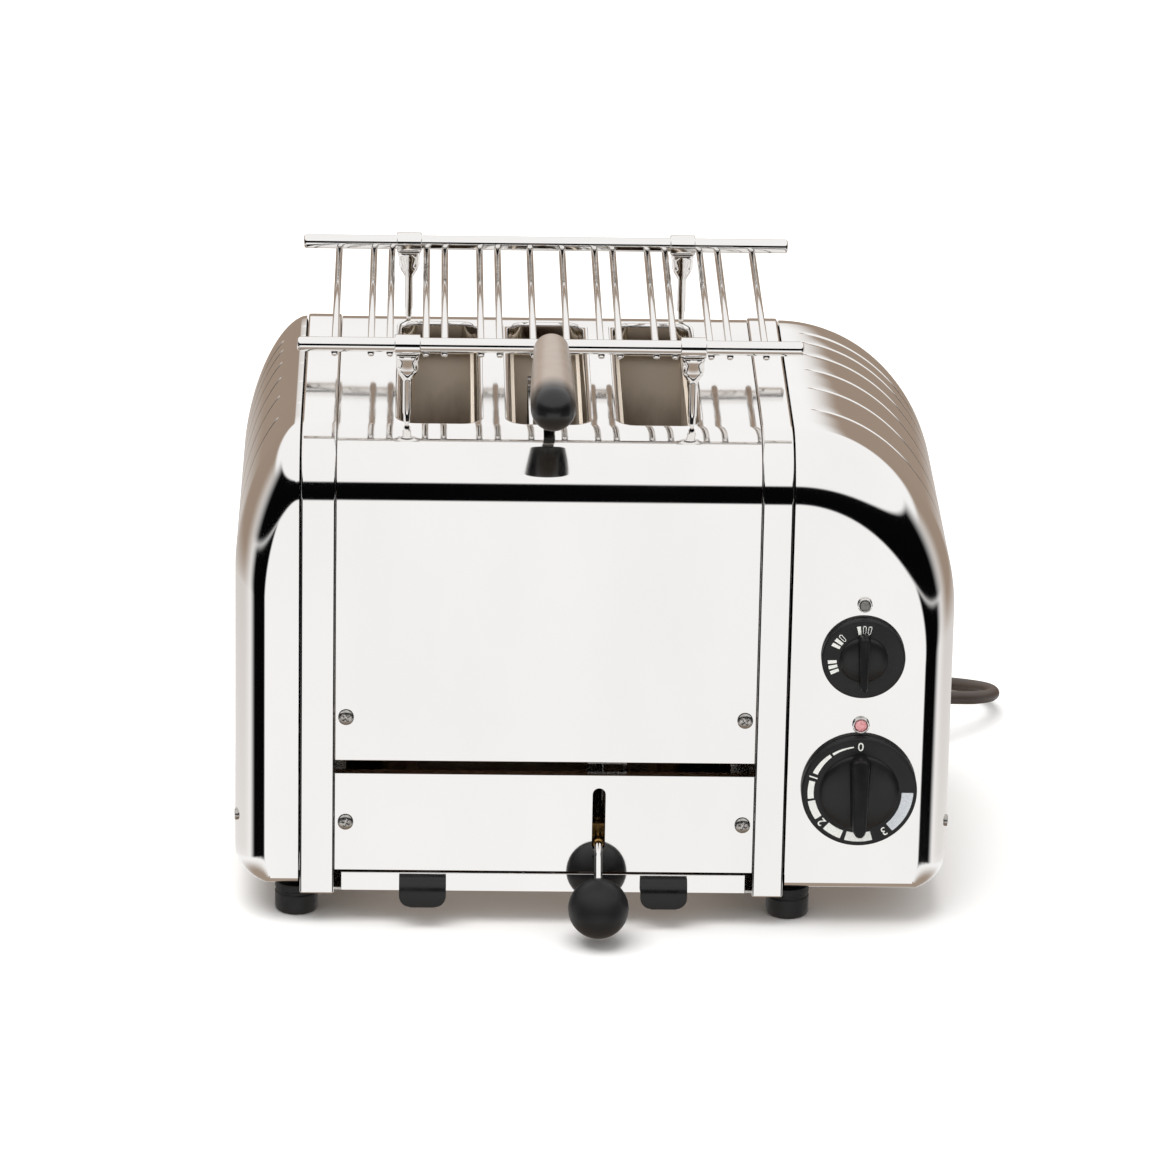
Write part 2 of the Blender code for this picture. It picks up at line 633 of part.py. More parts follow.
def make_lift():
    frame_top = REST_TOP - 7 * MM
    frame_low = frame_top - 3 * MM
    half_y = 48 * MM
    low_x, high_x = SLOT_XS[0] - 8 * MM, SLOT_XS[2] + 8 * MM
    frame = box("carriage_frame", (low_x, -half_y, frame_low), (high_x, half_y, frame_top),
                plain_steel())
    beam = 10 * MM
    for label, left, right in (("left", low_x + beam, LEVER_X - beam / 2),
                               ("right", LEVER_X + beam / 2, high_x - beam)):
        window = box("cut_carriage_" + label, (left, -half_y + beam, frame_low - beam),
                     (right, half_y - beam, frame_top + beam), plain_steel())
        cut(frame, window)
    web = 2 * MM
    low = frame_top + GAP
    for label, x in zip(SLOT_NAMES, SLOT_XS):
        outline = [(x - web / 2, low), (x + web / 2, low), (x + web / 2, REST_TOP - web),
                   (x + REST_WIDTH / 2, REST_TOP - web), (x + REST_WIDTH / 2, REST_TOP),
                   (x - REST_WIDTH / 2, REST_TOP), (x - REST_WIDTH / 2, REST_TOP - web),
                   (x - web / 2, REST_TOP - web)]
        prism("bread_rest_" + label, outline, "Y", -60 * MM, 60 * MM, plain_steel())
    rod_y = -HALF_DEPTH + GUIDE_ROD_SETBACK
    block_half = 6 * MM
    arm_low, arm_high = LEVER_ROD_Z - 1 * MM, LEVER_ROD_Z + 3 * MM
    back = -half_y + 6 * MM
    outline = [(rod_y + block_half + GAP, arm_low), (back, arm_low), (back, frame_low - GAP),
               (back - 4 * MM, frame_low - GAP), (back - 4 * MM, arm_high),
               (rod_y + block_half + GAP, arm_high)]
    prism("carriage_arm", outline, "X", LEVER_X - 4 * MM, LEVER_X + 4 * MM, plain_steel())
    block = box("lever_block", (LEVER_X - block_half, rod_y - block_half, LEVER_ROD_Z - 3 * MM),
                (LEVER_X + block_half, rod_y + block_half, LEVER_ROD_Z + 5 * MM), brass())
    bore = cylinder("cut_guide_bore", GUIDE_ROD_RADIUS + GAP, "Z", (LEVER_X, rod_y, LEVER_ROD_Z),
                    -20 * MM, 20 * MM, plain_steel(), 20)
    cut(block, bore)
    start = rod_y - block_half - GAP
    ball = Vector((LEVER_X, -HALF_DEPTH - BALL_REACH, BALL_Z))
    elbow = Vector((LEVER_X, -HALF_DEPTH - 3 * MM, LEVER_ROD_Z))
    slope = (ball - elbow).normalized()
    points = [Vector((LEVER_X, start, LEVER_ROD_Z)), elbow + Vector((0, 4 * MM, 0)),
              elbow + Vector((0, 1.6 * MM, -0.3 * MM)), elbow + slope * 1.6 * MM - Vector((0, 0, 0.3 * MM)),
              elbow + slope * 4 * MM, ball - slope * (BALL_RADIUS + GAP)]
    tube("lever_rod", points, LEVER_ROD_RADIUS, chrome())
    profile = [(0, -BALL_RADIUS)]
    for r, h in arc((0, 0), BALL_RADIUS, -75, 75, 10):
        profile.append((r, h))
    profile.append((0, BALL_RADIUS))
    turned("lever_ball", profile, "Z", ball, black_plastic(), 24)
    bracket_x = LEVER_X + 12 * MM
    low, high = LEVER_ROD_Z - 10 * MM, LEVER_ROD_Z + LIFT_TRAVEL + 12 * MM
    left = LEVER_X - 5 * MM
    outline = [(left, low), (bracket_x, low), (bracket_x, high), (left, high), (left, high - SHEET),
               (bracket_x - SHEET, high - SHEET), (bracket_x - SHEET, low + SHEET), (left, low + SHEET)]
    prism("guide_bracket", outline, "Y", rod_y - 6 * MM, rod_y + 7 * MM, plain_steel())
    cylinder("guide_rod", GUIDE_ROD_RADIUS, "Z", (LEVER_X, rod_y, 0), low + SHEET + GAP,
             high - SHEET - GAP, chrome())


# Crumb tray

def make_tray():
    low_x = PANEL_LEFT + TRAY_SIDE_CLEARANCE
    high_x = PANEL_RIGHT - TRAY_SIDE_CLEARANCE
    y = -HALF_DEPTH
    bottom = FOOT_HEIGHT + SHEET + GAP
    top = TRAY_LIP_TOP - 2 * MM
    bm = bmesh.new()
    outline = [(y, bottom), (y + TRAY_LENGTH, bottom), (y + TRAY_LENGTH, top),
               (y + TRAY_LENGTH - TRAY_WALL, top),
               (y + TRAY_LENGTH - TRAY_WALL, bottom + TRAY_WALL), (y + SHEET, bottom + TRAY_WALL),
               (y + SHEET, TRAY_LIP_TOP), (y, TRAY_LIP_TOP)]
    add_prism(bm, outline, "X", low_x, high_x)
    finish("crumb_tray", bm, polished_steel())
    hook = [(y - GAP, TRAY_LIP_TOP - 1 * MM)]
    hook += arc((y - GAP, TRAY_LIP_TOP - 1 * MM - TAB_REACH), TAB_REACH, 90, 180, 5)
    hook += [(y - GAP - TAB_REACH, TRAY_LIP_TOP - TAB_DROP),
             (y - GAP - TAB_REACH + 1.8 * MM, TRAY_LIP_TOP - TAB_DROP)]
    hook += arc((y - GAP, TRAY_LIP_TOP - 1 * MM - TAB_REACH), TAB_REACH - 1.8 * MM, 180, 90, 5)
    for label, sign in (("left", -1), ("right", 1)):
        x = PANEL_MIDDLE + sign * TAB_SPACING / 2
        prism("tray_tab_" + label, hook[1:], "X", x - TAB_WIDTH / 2, x + TAB_WIDTH / 2,
              black_plastic())


# Controls

def make_knob(name, z, skirt, hub_radius, bar_size, shaft_name):
    """A dial: a printed skirt with a bar to turn it by, moulded in one piece, on a steel shaft."""
    radius, depth = skirt
    bar_width, bar_length, bar_depth = bar_size
    centre = (CONTROL_X, -HALF_DEPTH - GAP, z)
    profile = [(0, 0), (radius, 0), (radius, -depth * 0.7), (radius - depth * 0.3, -depth),
               (hub_radius, -depth), (hub_radius - 0.8 * MM, -depth - 2 * MM), (0, -depth - 2 * MM)]
    knob = turned(name, profile, "Y", centre, black_plastic(), 40)
    bar = rounded_rectangle((CONTROL_X, z), bar_width, bar_length, bar_width * 0.45, 4)
    join(knob, prism("join_" + name, bar, "Y", centre[1] - depth - bar_depth, centre[1] - depth * 0.5,
                     black_plastic()))
    cut(knob, cylinder("cut_" + name, SHAFT_RADIUS + GAP, "Y", centre, -depth, 5 * MM,
                       plain_steel(), 20))
    cylinder(shaft_name, SHAFT_RADIUS, "Y", (CONTROL_X, -HALF_DEPTH, z), -depth,
             COVER_WALL + SHAFT_TAIL, plain_steel(), 20)


def make_controls():
    make_knob("timer_dial", TIMER_Z, TIMER_SKIRT, TIMER_HUB_RADIUS, TIMER_BAR, "timer_shaft")
    make_knob("selector_dial", SELECTOR_Z, SELECTOR_SKIRT, SELECTOR_HUB_RADIUS, SELECTOR_BAR,
              "selector_shaft")
    wall_back = -HALF_DEPTH + COVER_WALL + SHAFT_TAIL + GAP
    for name, z, half, depth in (("timer_body", TIMER_Z, 20 * MM, 32 * MM),
                                 ("selector_switch", SELECTOR_Z, 14 * MM, 24 * MM)):
        low = (CONTROL_X - half, wall_back, z - half)
        high = (CONTROL_X + half, wall_back + depth, z + half)
        box(name, low, high, plain_steel())
    outer = NEON_RADIUS + GAP + BEZEL_WIDTH
    neon = (CONTROL_X, -HALF_DEPTH - GAP, NEON_Z)
    ring = [(NEON_RADIUS + GAP, 0), (outer, 0), (outer, -0.7 * MM), (NEON_RADIUS + GAP, -1.2 * MM)]
    turned("neon_bezel", ring, "Y", neon, chrome(), 20, ring=True)
    lens = [(0, 6 * MM), (NEON_RADIUS, 6 * MM), (NEON_RADIUS, -1 * MM), (NEON_RADIUS * 0.6, -1.7 * MM),
            (0, -1.9 * MM)]
    turned("neon_lens", lens, "Y", neon, red_lens(), 20)
    button = (CONTROL_X, -HALF_DEPTH - GAP, BUTTON_Z)
    outer = BUTTON_RADIUS + GAP + BEZEL_WIDTH
    ring = [(BUTTON_RADIUS + GAP, 0), (outer, 0), (outer, -0.7 * MM), (BUTTON_RADIUS + GAP, -1.2 * MM)]
    turned("button_bezel", ring, "Y", button, chrome(), 20, ring=True)
    cap = [(0, 7 * MM), (BUTTON_RADIUS, 7 * MM), (BUTTON_RADIUS, -2 * MM), (BUTTON_RADIUS * 0.7, -2.5 * MM),
           (0, -2.6 * MM)]
    turned("defrost_button", cap, "Y", button, plain_steel(), 20)


# Warming rack

def rod_offsets():
    """Distances of the rods from the middle of the rack, on one side."""
    offsets = [ROD_MIDDLE_PITCH / 2]
    for pitch in (ROD_MIDDLE_PITCH, ROD_NARROW_PITCH, ROD_WIDE_PITCH, ROD_NARROW_PITCH,
                  ROD_WIDE_PITCH, ROD_NARROW_PITCH, ROD_WIDE_PITCH):
        offsets.append(offsets[-1] + pitch)
    return offsets


def make_rack():
    half = RAIL_LENGTH / 2
    taper = 1.6 * MM
    profile = [(0, -half), (RAIL_RADIUS - taper, -half), (RAIL_RADIUS, -half + taper),
               (RAIL_RADIUS, half - taper), (RAIL_RADIUS - taper, half), (0, half)]
    rails, rods = bmesh.new(), bmesh.new()
    for y in (-RAIL_Y, RAIL_Y):
        add_turned(rails, profile, "X", (PANEL_MIDDLE, y, RAIL_Z), 16)
    rod_z = RAIL_Z - RAIL_RADIUS - ROD_RADIUS + ROD_WELD
    reach = RAIL_Y + 1.3 * MM
    rod = [(0, -reach), (ROD_RADIUS, -reach), (ROD_RADIUS, reach), (0, reach)]
    for offset in rod_offsets():
        for sign in (-1, 1):
            add_turned(rods, rod, "Y", (PANEL_MIDDLE + sign * offset, 0, rod_z), 8)
    rack = finish("rack_frame", rails, chrome())
    join(rack, finish("join_rack_rods", rods, chrome()))
    sleeve = RAIL_RADIUS + GAP
    rim = sleeve + 1.3 * MM
    ring = [(sleeve, -CLIP_WIDTH / 2), (rim, -CLIP_WIDTH / 2), (rim, CLIP_WIDTH / 2),
            (sleeve, CLIP_WIDTH / 2)]
    top = RAIL_Z - sleeve - 0.7 * MM
    foot = BODY_TOP + GAP
    post = [(0, foot), (LEG_RADIUS * 0.6, foot), (LEG_RADIUS, foot + 2 * MM),
            (LEG_RADIUS, top - 12 * MM), (LEG_TOP_RADIUS * 0.6, top - 9 * MM),
            (LEG_TOP_RADIUS, top - 6 * MM), (LEG_TOP_RADIUS, top), (0, top)]
    for x_label, x in (("left", PANEL_MIDDLE - LEG_SPACING / 2), ("right", PANEL_MIDDLE + LEG_SPACING / 2)):
        for y_label, y in (("front", -RAIL_Y), ("rear", RAIL_Y)):
            where = f"{y_label}_{x_label}"
            leg = turned("rack_leg_" + where, ring, "X", (x, y, RAIL_Z), chrome(), 16, ring=True)
            join(leg, turned("join_leg_" + where, post, "Z", (x, y, 0), chrome(), 12))
            bore = cylinder("cut_leg_" + where, sleeve, "X", (x, y, RAIL_Z), -CLIP_WIDTH, CLIP_WIDTH,
                            chrome(), 16)
            cut(leg, bore)


# Sandwich cage

def make_cage():
    x = PANEL_MIDDLE
    low = REST_TOP + GAP
    half_length = CAGE_LENGTH / 2
    for label, sign in (("left", -1), ("right", 1)):
        near = x + sign * CAGE_HALF_GAP
        far = near + sign * CAGE_WIRE
        bm = bmesh.new()
        add_ladder(bm, min(near, far), max(near, far), half_length, low, CAGE_TOP, 9, CAGE_WIRE)
        half = finish("cage_half_" + label, bm, chrome())
        inner = x + sign * GAP / 2
        middle = near + sign * CAGE_WIRE / 2
        shelf = rectangle(min(inner, middle), max(inner, middle), 0.3 * MM - half_length,
                          half_length - 0.3 * MM)
        join(half, prism("join_cage_" + label, shelf, "Z", low + 0.2 * MM, low + 1.2 * MM, chrome()))
    t = STEM_THICKNESS
    back = -half_length + 8 * MM
    up = -STEM_FRONT
    tang = -GRIP_START + GAP
    stem = [(back, CAGE_TOP - 24 * MM), (back + t, CAGE_TOP - 24 * MM), (back + t, STEM_Z + t),
            (up + t, STEM_Z + t), (up + t, GRIP_Z + t / 2), (tang, GRIP_Z + t / 2),
            (tang, GRIP_Z - t / 2), (up, GRIP_Z - t / 2), (up, STEM_Z), (back, STEM_Z)]
    handle = prism("cage_stem", stem, "X", x - STEM_WIDTH / 2, x + STEM_WIDTH / 2, chrome())
    tongue = box("join_tongue", (x - CAGE_HALF_GAP + GAP, back + 0.1 * MM, CAGE_TOP - 20 * MM),
                 (x + CAGE_HALF_GAP - GAP, back + t - 0.1 * MM, CAGE_TOP - 6 * MM), chrome())
    join(handle, tongue)
    slope = math.atan2(GRIP_Z - GRIP_END_Z, GRIP_LENGTH)
    length = GRIP_LENGTH / math.cos(slope)
    profile = [(0, 0), (GRIP_BACK_RADIUS - 2.5 * MM, 0)]
    profile += arc((GRIP_BACK_RADIUS - 3 * MM, 3 * MM), 3 * MM, -60, 0, 3)
    profile += arc((0, length), GRIP_FRONT_RADIUS, 0, 80, 6)
    profile.append((0, length + GRIP_FRONT_RADIUS))
    grip = turned("cage_grip", profile, "Z", (0, 0, 0), black_plastic(), 20)
    grip.rotation_euler = (math.pi / 2 + slope, 0, 0)
    grip.location = (x, -GRIP_START + BODY_Y, GRIP_Z)


# Mains lead

def make_mains_lead():
    end = Vector(CORD_LEAD_ROUTE[0]) * MM
    start = Vector((GLAND_X, HALF_DEPTH + 2 * MM, GLAND_Z))
    toward = (Vector(CORD_LEAD_ROUTE[1]) * MM - end).normalized()
    flange = [(0, GAP), (7 * MM, GAP), (7 * MM, 3 * MM), (0, 3 * MM)]
    relief = turned("strain_relief", flange, "Y", (GLAND_X, HALF_DEPTH, GLAND_Z), black_rubber(), 20)
    bm = bmesh.new()
    rows = []
    steps, sides = 6, 12
    run = (end - start).length
    stop = end - toward * GAP
    for i in range(steps + 1):
        t = i / steps
        middle = (start * (1 - t) ** 3 + 3 * (start + Vector((0, run / 3, 0))) * t * (1 - t) ** 2
                  + 3 * (stop - toward * run / 3) * t ** 2 * (1 - t) + stop * t ** 3)
        heading = Vector((0, 1, 0)).lerp(toward, t).normalized()
        side = heading.cross(Vector((0, 0, 1))).normalized()
        lift = side.cross(heading)
        radius = (5.4 - 2.0 * t) * MM
        rows.append([bm.verts.new(middle + radius * (math.cos(2 * math.pi * k / sides) * side
                                                     + math.sin(2 * math.pi * k / sides) * lift))
                     for k in range(sides)])
    for first, second in zip(rows, rows[1:]):
        for k in range(sides):
            j = (k + 1) % sides
            bm.faces.new((first[k], first[j], second[j], second[k]))
    bm.faces.new(rows[0][::-1])
    bm.faces.new(rows[-1])
    join(relief, finish("join_relief", bm, black_rubber()))
    tube("cord_lead", smooth_route(CORD_LEAD_ROUTE, 3), CORD_RADIUS, black_rubber())
    low, middle = GAP, (COIL_INNER + COIL_OUTER) / 2
    edge = 2 * MM
    ring = [(COIL_INNER, low + edge), (COIL_INNER + edge, low), (COIL_OUTER - edge, low),
            (COIL_OUTER, low + edge), (COIL_OUTER, COIL_TOP - edge), (COIL_OUTER - edge, COIL_TOP),
            (middle, COIL_TOP), (COIL_INNER + edge, COIL_TOP), (COIL_INNER, COIL_TOP - edge)]
    turned("cord_coil", ring, "Z", (*COIL_CENTRE, 0), black_rubber(), 32, ring=True)
    tube("cord_tail", smooth_route(CORD_TAIL_ROUTE, 3), CORD_RADIUS, black_rubber())
    make_plug()


def make_plug():
    """A three-pin plug on its back, pins up, with the lead into one side."""
    width, depth, height = PLUG_SIZE
    x, y = PLUG_CENTRE
    low = GAP
    bm = bmesh.new()
    rings = []
    for z, shrink in ((low, 2), (low + 2 * MM, 0), (low + height - 3 * MM, 0), (low + height, 3)):
        inset = shrink * MM
        outline = rounded_rectangle((x, y), width - 2 * inset, depth - 2 * inset, 8 * MM, 4)
        rings.append([bm.verts.new((a, b, z)) for a, b in outline])
    for first, second in zip(rings, rings[1:]):
        for i in range(len(first)):
            j = (i + 1) % len(first)
            bm.faces.new((first[i], first[j], second[j], second[i]))
    bm.faces.new(rings[0][::-1])
    bm.faces.new(rings[-1])
    plug = finish("mains_plug", bm, black_plastic())
    bm = bmesh.new()
    top = low + height
    pins = ((-11 * MM, 0, 4 * MM, 8 * MM, 22.7 * MM), (11.2 * MM, 11.1 * MM, 6.4 * MM, 4 * MM, 17.7 * MM),
            (11.2 * MM, -11.1 * MM, 6.4 * MM, 4 * MM, 17.7 * MM))
    for dx, dy, size_x, size_y, tall in pins:
        outline = rectangle(x + dx - size_x / 2, x + dx + size_x / 2,
                            y + dy - size_y / 2, y + dy + size_y / 2)
        add_prism(bm, outline, "Z", top - 3 * MM, top + tall)
    start_x = width / 2 - 2 * MM
    lead_x = CORD_TAIL_ROUTE[-1][0] * MM - GAP - x
    sleeve = [(0, start_x), (5 * MM, start_x), (3.6 * MM, lead_x), (0, lead_x)]
    add_turned(bm, sleeve, "X", (x, CORD_TAIL_ROUTE[-1][1] * MM, CORD_TAIL_ROUTE[-1][2] * MM), 14)
    join(plug, finish("join_plug", bm, black_plastic()))


def main():
    clear_scene()
    make_top_shell()
    make_lower_panel()
    make_trims()
    make_covers()
    make_chassis()
    make_screws()
    make_feet()
    make_chamber()
    make_lift()
    make_tray()
    make_controls()
    make_rack()
    make_cage()
    make_mains_lead()


main()
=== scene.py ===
"""Looks of a three-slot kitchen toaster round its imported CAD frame. Metres, +Z up, front to -Y."""

import math

import bmesh
import bpy
from bpy.props import FloatProperty, FloatVectorProperty, IntProperty, PointerProperty
from mathutils import Matrix, Vector


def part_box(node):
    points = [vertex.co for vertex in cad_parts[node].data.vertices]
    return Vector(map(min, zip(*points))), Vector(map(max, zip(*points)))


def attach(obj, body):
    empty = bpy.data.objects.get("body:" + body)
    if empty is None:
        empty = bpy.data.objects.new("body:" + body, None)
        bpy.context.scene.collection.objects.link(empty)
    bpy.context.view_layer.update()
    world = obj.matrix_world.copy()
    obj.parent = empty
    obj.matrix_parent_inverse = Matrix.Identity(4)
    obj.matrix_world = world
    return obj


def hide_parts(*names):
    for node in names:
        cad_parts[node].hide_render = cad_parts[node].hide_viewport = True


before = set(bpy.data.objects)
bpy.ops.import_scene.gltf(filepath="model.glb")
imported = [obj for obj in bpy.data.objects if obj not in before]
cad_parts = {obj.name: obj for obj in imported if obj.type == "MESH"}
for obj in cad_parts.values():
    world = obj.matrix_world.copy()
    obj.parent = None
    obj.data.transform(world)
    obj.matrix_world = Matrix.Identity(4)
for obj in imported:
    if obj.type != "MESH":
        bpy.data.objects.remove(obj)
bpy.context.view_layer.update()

bl_info = {
    "name": "Three-slot toaster",
    "version": (1, 0, 0),
    "blender": (4, 5, 0),
    "location": "3D View > Sidebar > Toaster",
    "description": "Builds the polished casing, dials, rack, cage handle and mains lead of a toaster",
    "category": "Object",
}

MM = 0.001
TINY = 0.01 * MM    # stands for zero where a ring of points needs a radius

# Places that come from the frame
SHELL_LOW, SHELL_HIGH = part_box("top_shell")
LEFT_LOW, LEFT_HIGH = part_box("left_end_cover")
RIGHT_LOW, RIGHT_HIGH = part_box("right_end_cover")
MIDDLE_Y = (SHELL_LOW.y + SHELL_HIGH.y) / 2
HALF_DEPTH = (SHELL_HIGH.y - SHELL_LOW.y) / 2
TOP_Z = SHELL_HIGH.z
BASE_Z = LEFT_LOW.z
FRONT_Y = SHELL_LOW.y

# Shapes of the pressed covers, as the frame has them
TOP_FILLET = 28 * MM
SHEET = 1.2 * MM
COVER_SIDE_INSET = 16 * MM
COVER_CORNER = 12 * MM
COVER_WALL = 2 * MM
COVER_EDGE = 0.95 * MM
JOINT_GAP = 0.5 * MM
HOLE_CLEARANCE, HOLE_REACH = 0.4 * MM, 6 * MM       # round each shaft, and to each side of the face
COVER_SCREW_Y, COVER_SCREW_Z = 80 * MM, 29 * MM     # from the middle, and above the base
FACE_BOTTOM = 7 * MM
RIGHT_SHOULDER = (82 * MM, 2.0, 72 * MM)
LEFT_SHOULDER = (64 * MM, 1.7, 46 * MM)
SLOT_XS = [sum((corner.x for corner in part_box("bread_rest_" + n)), 0.0) / 2
           for n in ("left", "middle", "right")]
SLOT_SIZE = (33 * MM, 138 * MM, 7 * MM)

# Mains lead: the same route as the frame's, measured from the middle of the casing
COIL_CENTRE = (62.0, 160.7)
COIL_RADII = (39.3, 33.0, 26.7)
COIL_LEVELS = (3.5, 9.7)
CORD_LEAD_ROUTE = (
    (141.0, 113.6, 26.0), (149.0, 117.0, 24.2), (160.0, 122.0, 21.8), (172.0, 129.6, 18.6),
    (184.0, 139.0, 15.0), (191.6, 149.0, 12.2), (194.2, 160.0, 9.6), (191.4, 171.0, 7.2),
    (184.4, 179.6, 5.2), (174.0, 185.6, 4.0), (160.0, 190.2, 3.5), (143.0, 194.2, 3.5),
    (124.0, 197.4, 3.5), (104.0, 199.6, 3.5), (85.0, 200.0, 3.5),
)
CORD_TAIL_ROUTE = (
    (39.0, 200.0, 9.6), (26.0, 200.6, 8.7), (10.0, 202.2, 7.4), (-8.0, 203.6, 7.6),
    (-26.0, 204.0, 9.5), (-38.2, 204.0, 9.5),
)
GLAND = (124.0, 99.0, 30.0)


def linear(code):
    """An sRGB hex colour as linear red, green and blue."""
    values = [int(code[i:i + 2], 16) / 255 for i in (0, 2, 4)]
    return tuple(v / 12.92 if v <= 0.04045 else ((v + 0.055) / 1.055) ** 2.4 for v in values)


def here(x, y, z):
    """A place given in millimetres from the middle of the casing, on the ground."""
    return Vector((x * MM, y * MM + MIDDLE_Y, z * MM))


class ToasterSettings(bpy.types.PropertyGroup):
    steel: FloatVectorProperty(
        name="Polished steel", description="Colour of the mirror-polished stainless sheet",
        subtype="COLOR", size=3, min=0, max=1, default=linear("F5F3F1"))
    wire: FloatVectorProperty(
        name="Plated wire", description="Colour of the chromium-plated rack and cage",
        subtype="COLOR", size=3, min=0, max=1, default=linear("F2F0EE"))
    inside: FloatVectorProperty(
        name="Inner steel", description="Colour of the heat-stained steel inside the slots",
        subtype="COLOR", size=3, min=0, max=1, default=linear("F0E1CE"))
    black: FloatVectorProperty(
        name="Black mouldings", description="Colour of the dials, grip, ball and tabs",
        subtype="COLOR", size=3, min=0, max=1, default=linear("101011"))
    cord: FloatVectorProperty(
        name="Mains lead", description="Colour of the rubber sheath of the lead",
        subtype="COLOR", size=3, min=0, max=1, default=linear("3A302A"))
    lens: FloatVectorProperty(
        name="Neon lens", description="Colour of the neon lens when it is off",
        subtype="COLOR", size=3, min=0, max=1, default=linear("D98A8E"))
    groove_depth: FloatProperty(
        name="Groove depth", description="Depth of the grooves pressed into the end covers",
        default=1.2 * MM, min=0, unit="LENGTH")
    groove_half_width: FloatProperty(
        name="Groove half width", description="Half the width of each pressed groove",
        default=1.15 * MM, min=0.1 * MM, unit="LENGTH")
    lip_radius: FloatProperty(
        name="Slot lip radius", description="Radius of the lip turned down round each bread slot",
        default=2.2 * MM, min=0.5 * MM, unit="LENGTH")
    cord_diameter: FloatProperty(
        name="Lead diameter", description="Outside diameter of the mains lead",
        default=6.2 * MM, min=3 * MM, unit="LENGTH")
    winding_count: IntProperty(
        name="Element windings", description="Turns of ribbon wire on each heating element",
        default=15, min=3, max=40)


class StageSettings(bpy.types.PropertyGroup):
    camera_place: FloatVectorProperty(
        name="Camera place", description="Place of the camera", subtype="TRANSLATION", unit="LENGTH",
        size=3, default=(-0.0753, -2.8105 + MIDDLE_Y, 1.1641))
    camera_turn: FloatVectorProperty(
        name="Camera turn", description="Yaw, downward pitch and roll of the camera",
        size=3, unit="ROTATION",
        default=(math.radians(-1.48), math.radians(20.36), math.radians(1.08)))
    camera_lens: FloatProperty(
        name="Focal length", description="Focal length on a 36 mm wide sensor, in millimetres",
        default=208.87, min=10)
    floor_size: FloatProperty(
        name="Floor size", description="Side of the square floor", default=12.0, min=1, unit="LENGTH")
    key_power: FloatProperty(
        name="Key light", description="Power of the soft light overhead, in watts", default=60.0, min=0)
    sky_strength: FloatProperty(
        name="Room light", description="Brightness of the white room round the toaster",
        default=1.0, min=0)


def settings():
    return bpy.context.scene.toaster


# Materials

EVEN = (1, 1, 1)
NOISE_SPAN = (0.3, 0.7)         # where nearly all of a noise's values lie
NOISE_ROUGHNESS = 0.55
SHADE_LOW, SHADE_HIGH = 174 * MM, 204 * MM  # heights where the painted shade (brown) ends and straw is full
SHADE_RAGGED = 30 * MM
HIGHLIGHT_START, HIGHLIGHT_END = 9 * MM, 24 * MM      # from the grip's front end, where black turns into the painted taupe highlight


def add(tree, kind, values=None, links=None, **attributes):
    """Adds a node, sets its attributes and inputs, and links its inputs to other nodes' outputs."""
    node = tree.nodes.new(kind)
    for name, value in attributes.items():
        setattr(node, name, value)
    for name, value in (values or {}).items():
        node.inputs[name].default_value = value
    for name, socket in (links or {}).items():
        tree.links.new(socket, node.inputs[name])
    return node


def shade(color, factor, lift=0.0):
    return tuple(c * factor + lift for c in color)


def surface(name, tones, metallic, rough, lumps, rough_lumps=None, grain=None, flakes=False, **values):
    """A finish whose colour and roughness wander between two values each, or stay at one.

    Lumps are (size in metres, detail, stretch along each axis). The roughness follows the colour's lumps
    unless it is given its own. A grain is lumps with the height and strength of its bumps after them.
    Flakes take the place of the colour's lumps.
    """
    made = bpy.data.materials.new(name)
    made.use_nodes = True
    tree = made.node_tree
    shader = tree.nodes["Principled BSDF"]
    shader.inputs["Metallic"].default_value = metallic
    for socket, value in values.items():
        shader.inputs[socket.replace("_", " ")].default_value = value
    place = add(tree, "ShaderNodeTexCoord", name="place").outputs["Object"]
    noises = {}
    for use, scale in (("tone", lumps), ("rough", rough_lumps), ("grain", grain)):
        if not scale:
            continue
        size, detail, stretch = scale[:3]
        mapped = add(tree, "ShaderNodeMapping", {"Scale": [s / size for s in stretch]},
                     {"Vector": place}).outputs["Vector"]
        if flakes and use == "tone":
            cells = add(tree, "ShaderNodeTexVoronoi", {"Scale": 1.0}, {"Vector": mapped})
            noises["tone"], noises["rough"] = cells.outputs["Color"], cells.outputs["Distance"]
        else:
            noises[use] = add(tree, "ShaderNodeTexNoise",
                              {"Scale": 1.0, "Detail": detail, "Roughness": NOISE_ROUGHNESS},
                              {"Vector": mapped}, name=use + "_noise").outputs["Fac"]
    noises.setdefault("rough", noises["tone"])
    if isinstance(tones[0], float):
        shader.inputs["Base Color"].default_value = (*tones, 1)
    else:
        blend = add(tree, "ShaderNodeValToRGB", links={"Fac": noises["tone"]}, name="tones")
        for stop, position, tone in zip(blend.color_ramp.elements, NOISE_SPAN, tones):
            stop.position = position
            stop.color = (*tone, 1)
        tree.links.new(blend.outputs["Color"], shader.inputs["Base Color"])
    if isinstance(rough, float):
        shader.inputs["Roughness"].default_value = rough
    else:
        sheen = add(tree, "ShaderNodeMapRange",
                    {"From Min": NOISE_SPAN[0], "From Max": NOISE_SPAN[1], "To Min": rough[0],
                     "To Max": rough[1]}, {"Value": noises["rough"]}, name="sheen")
        tree.links.new(sheen.outputs["Result"], shader.inputs["Roughness"])
    if grain:
        bump = add(tree, "ShaderNodeBump", {"Distance": grain[3], "Strength": grain[4]},
                   {"Height": noises["grain"]})
        tree.links.new(bump.outputs["Normal"], shader.inputs["Normal"])
    return made


def finish_of(name):
    """The finish of that name, made the first time it is asked for."""
    return bpy.data.materials.get(name) or FINISHES[name](name)


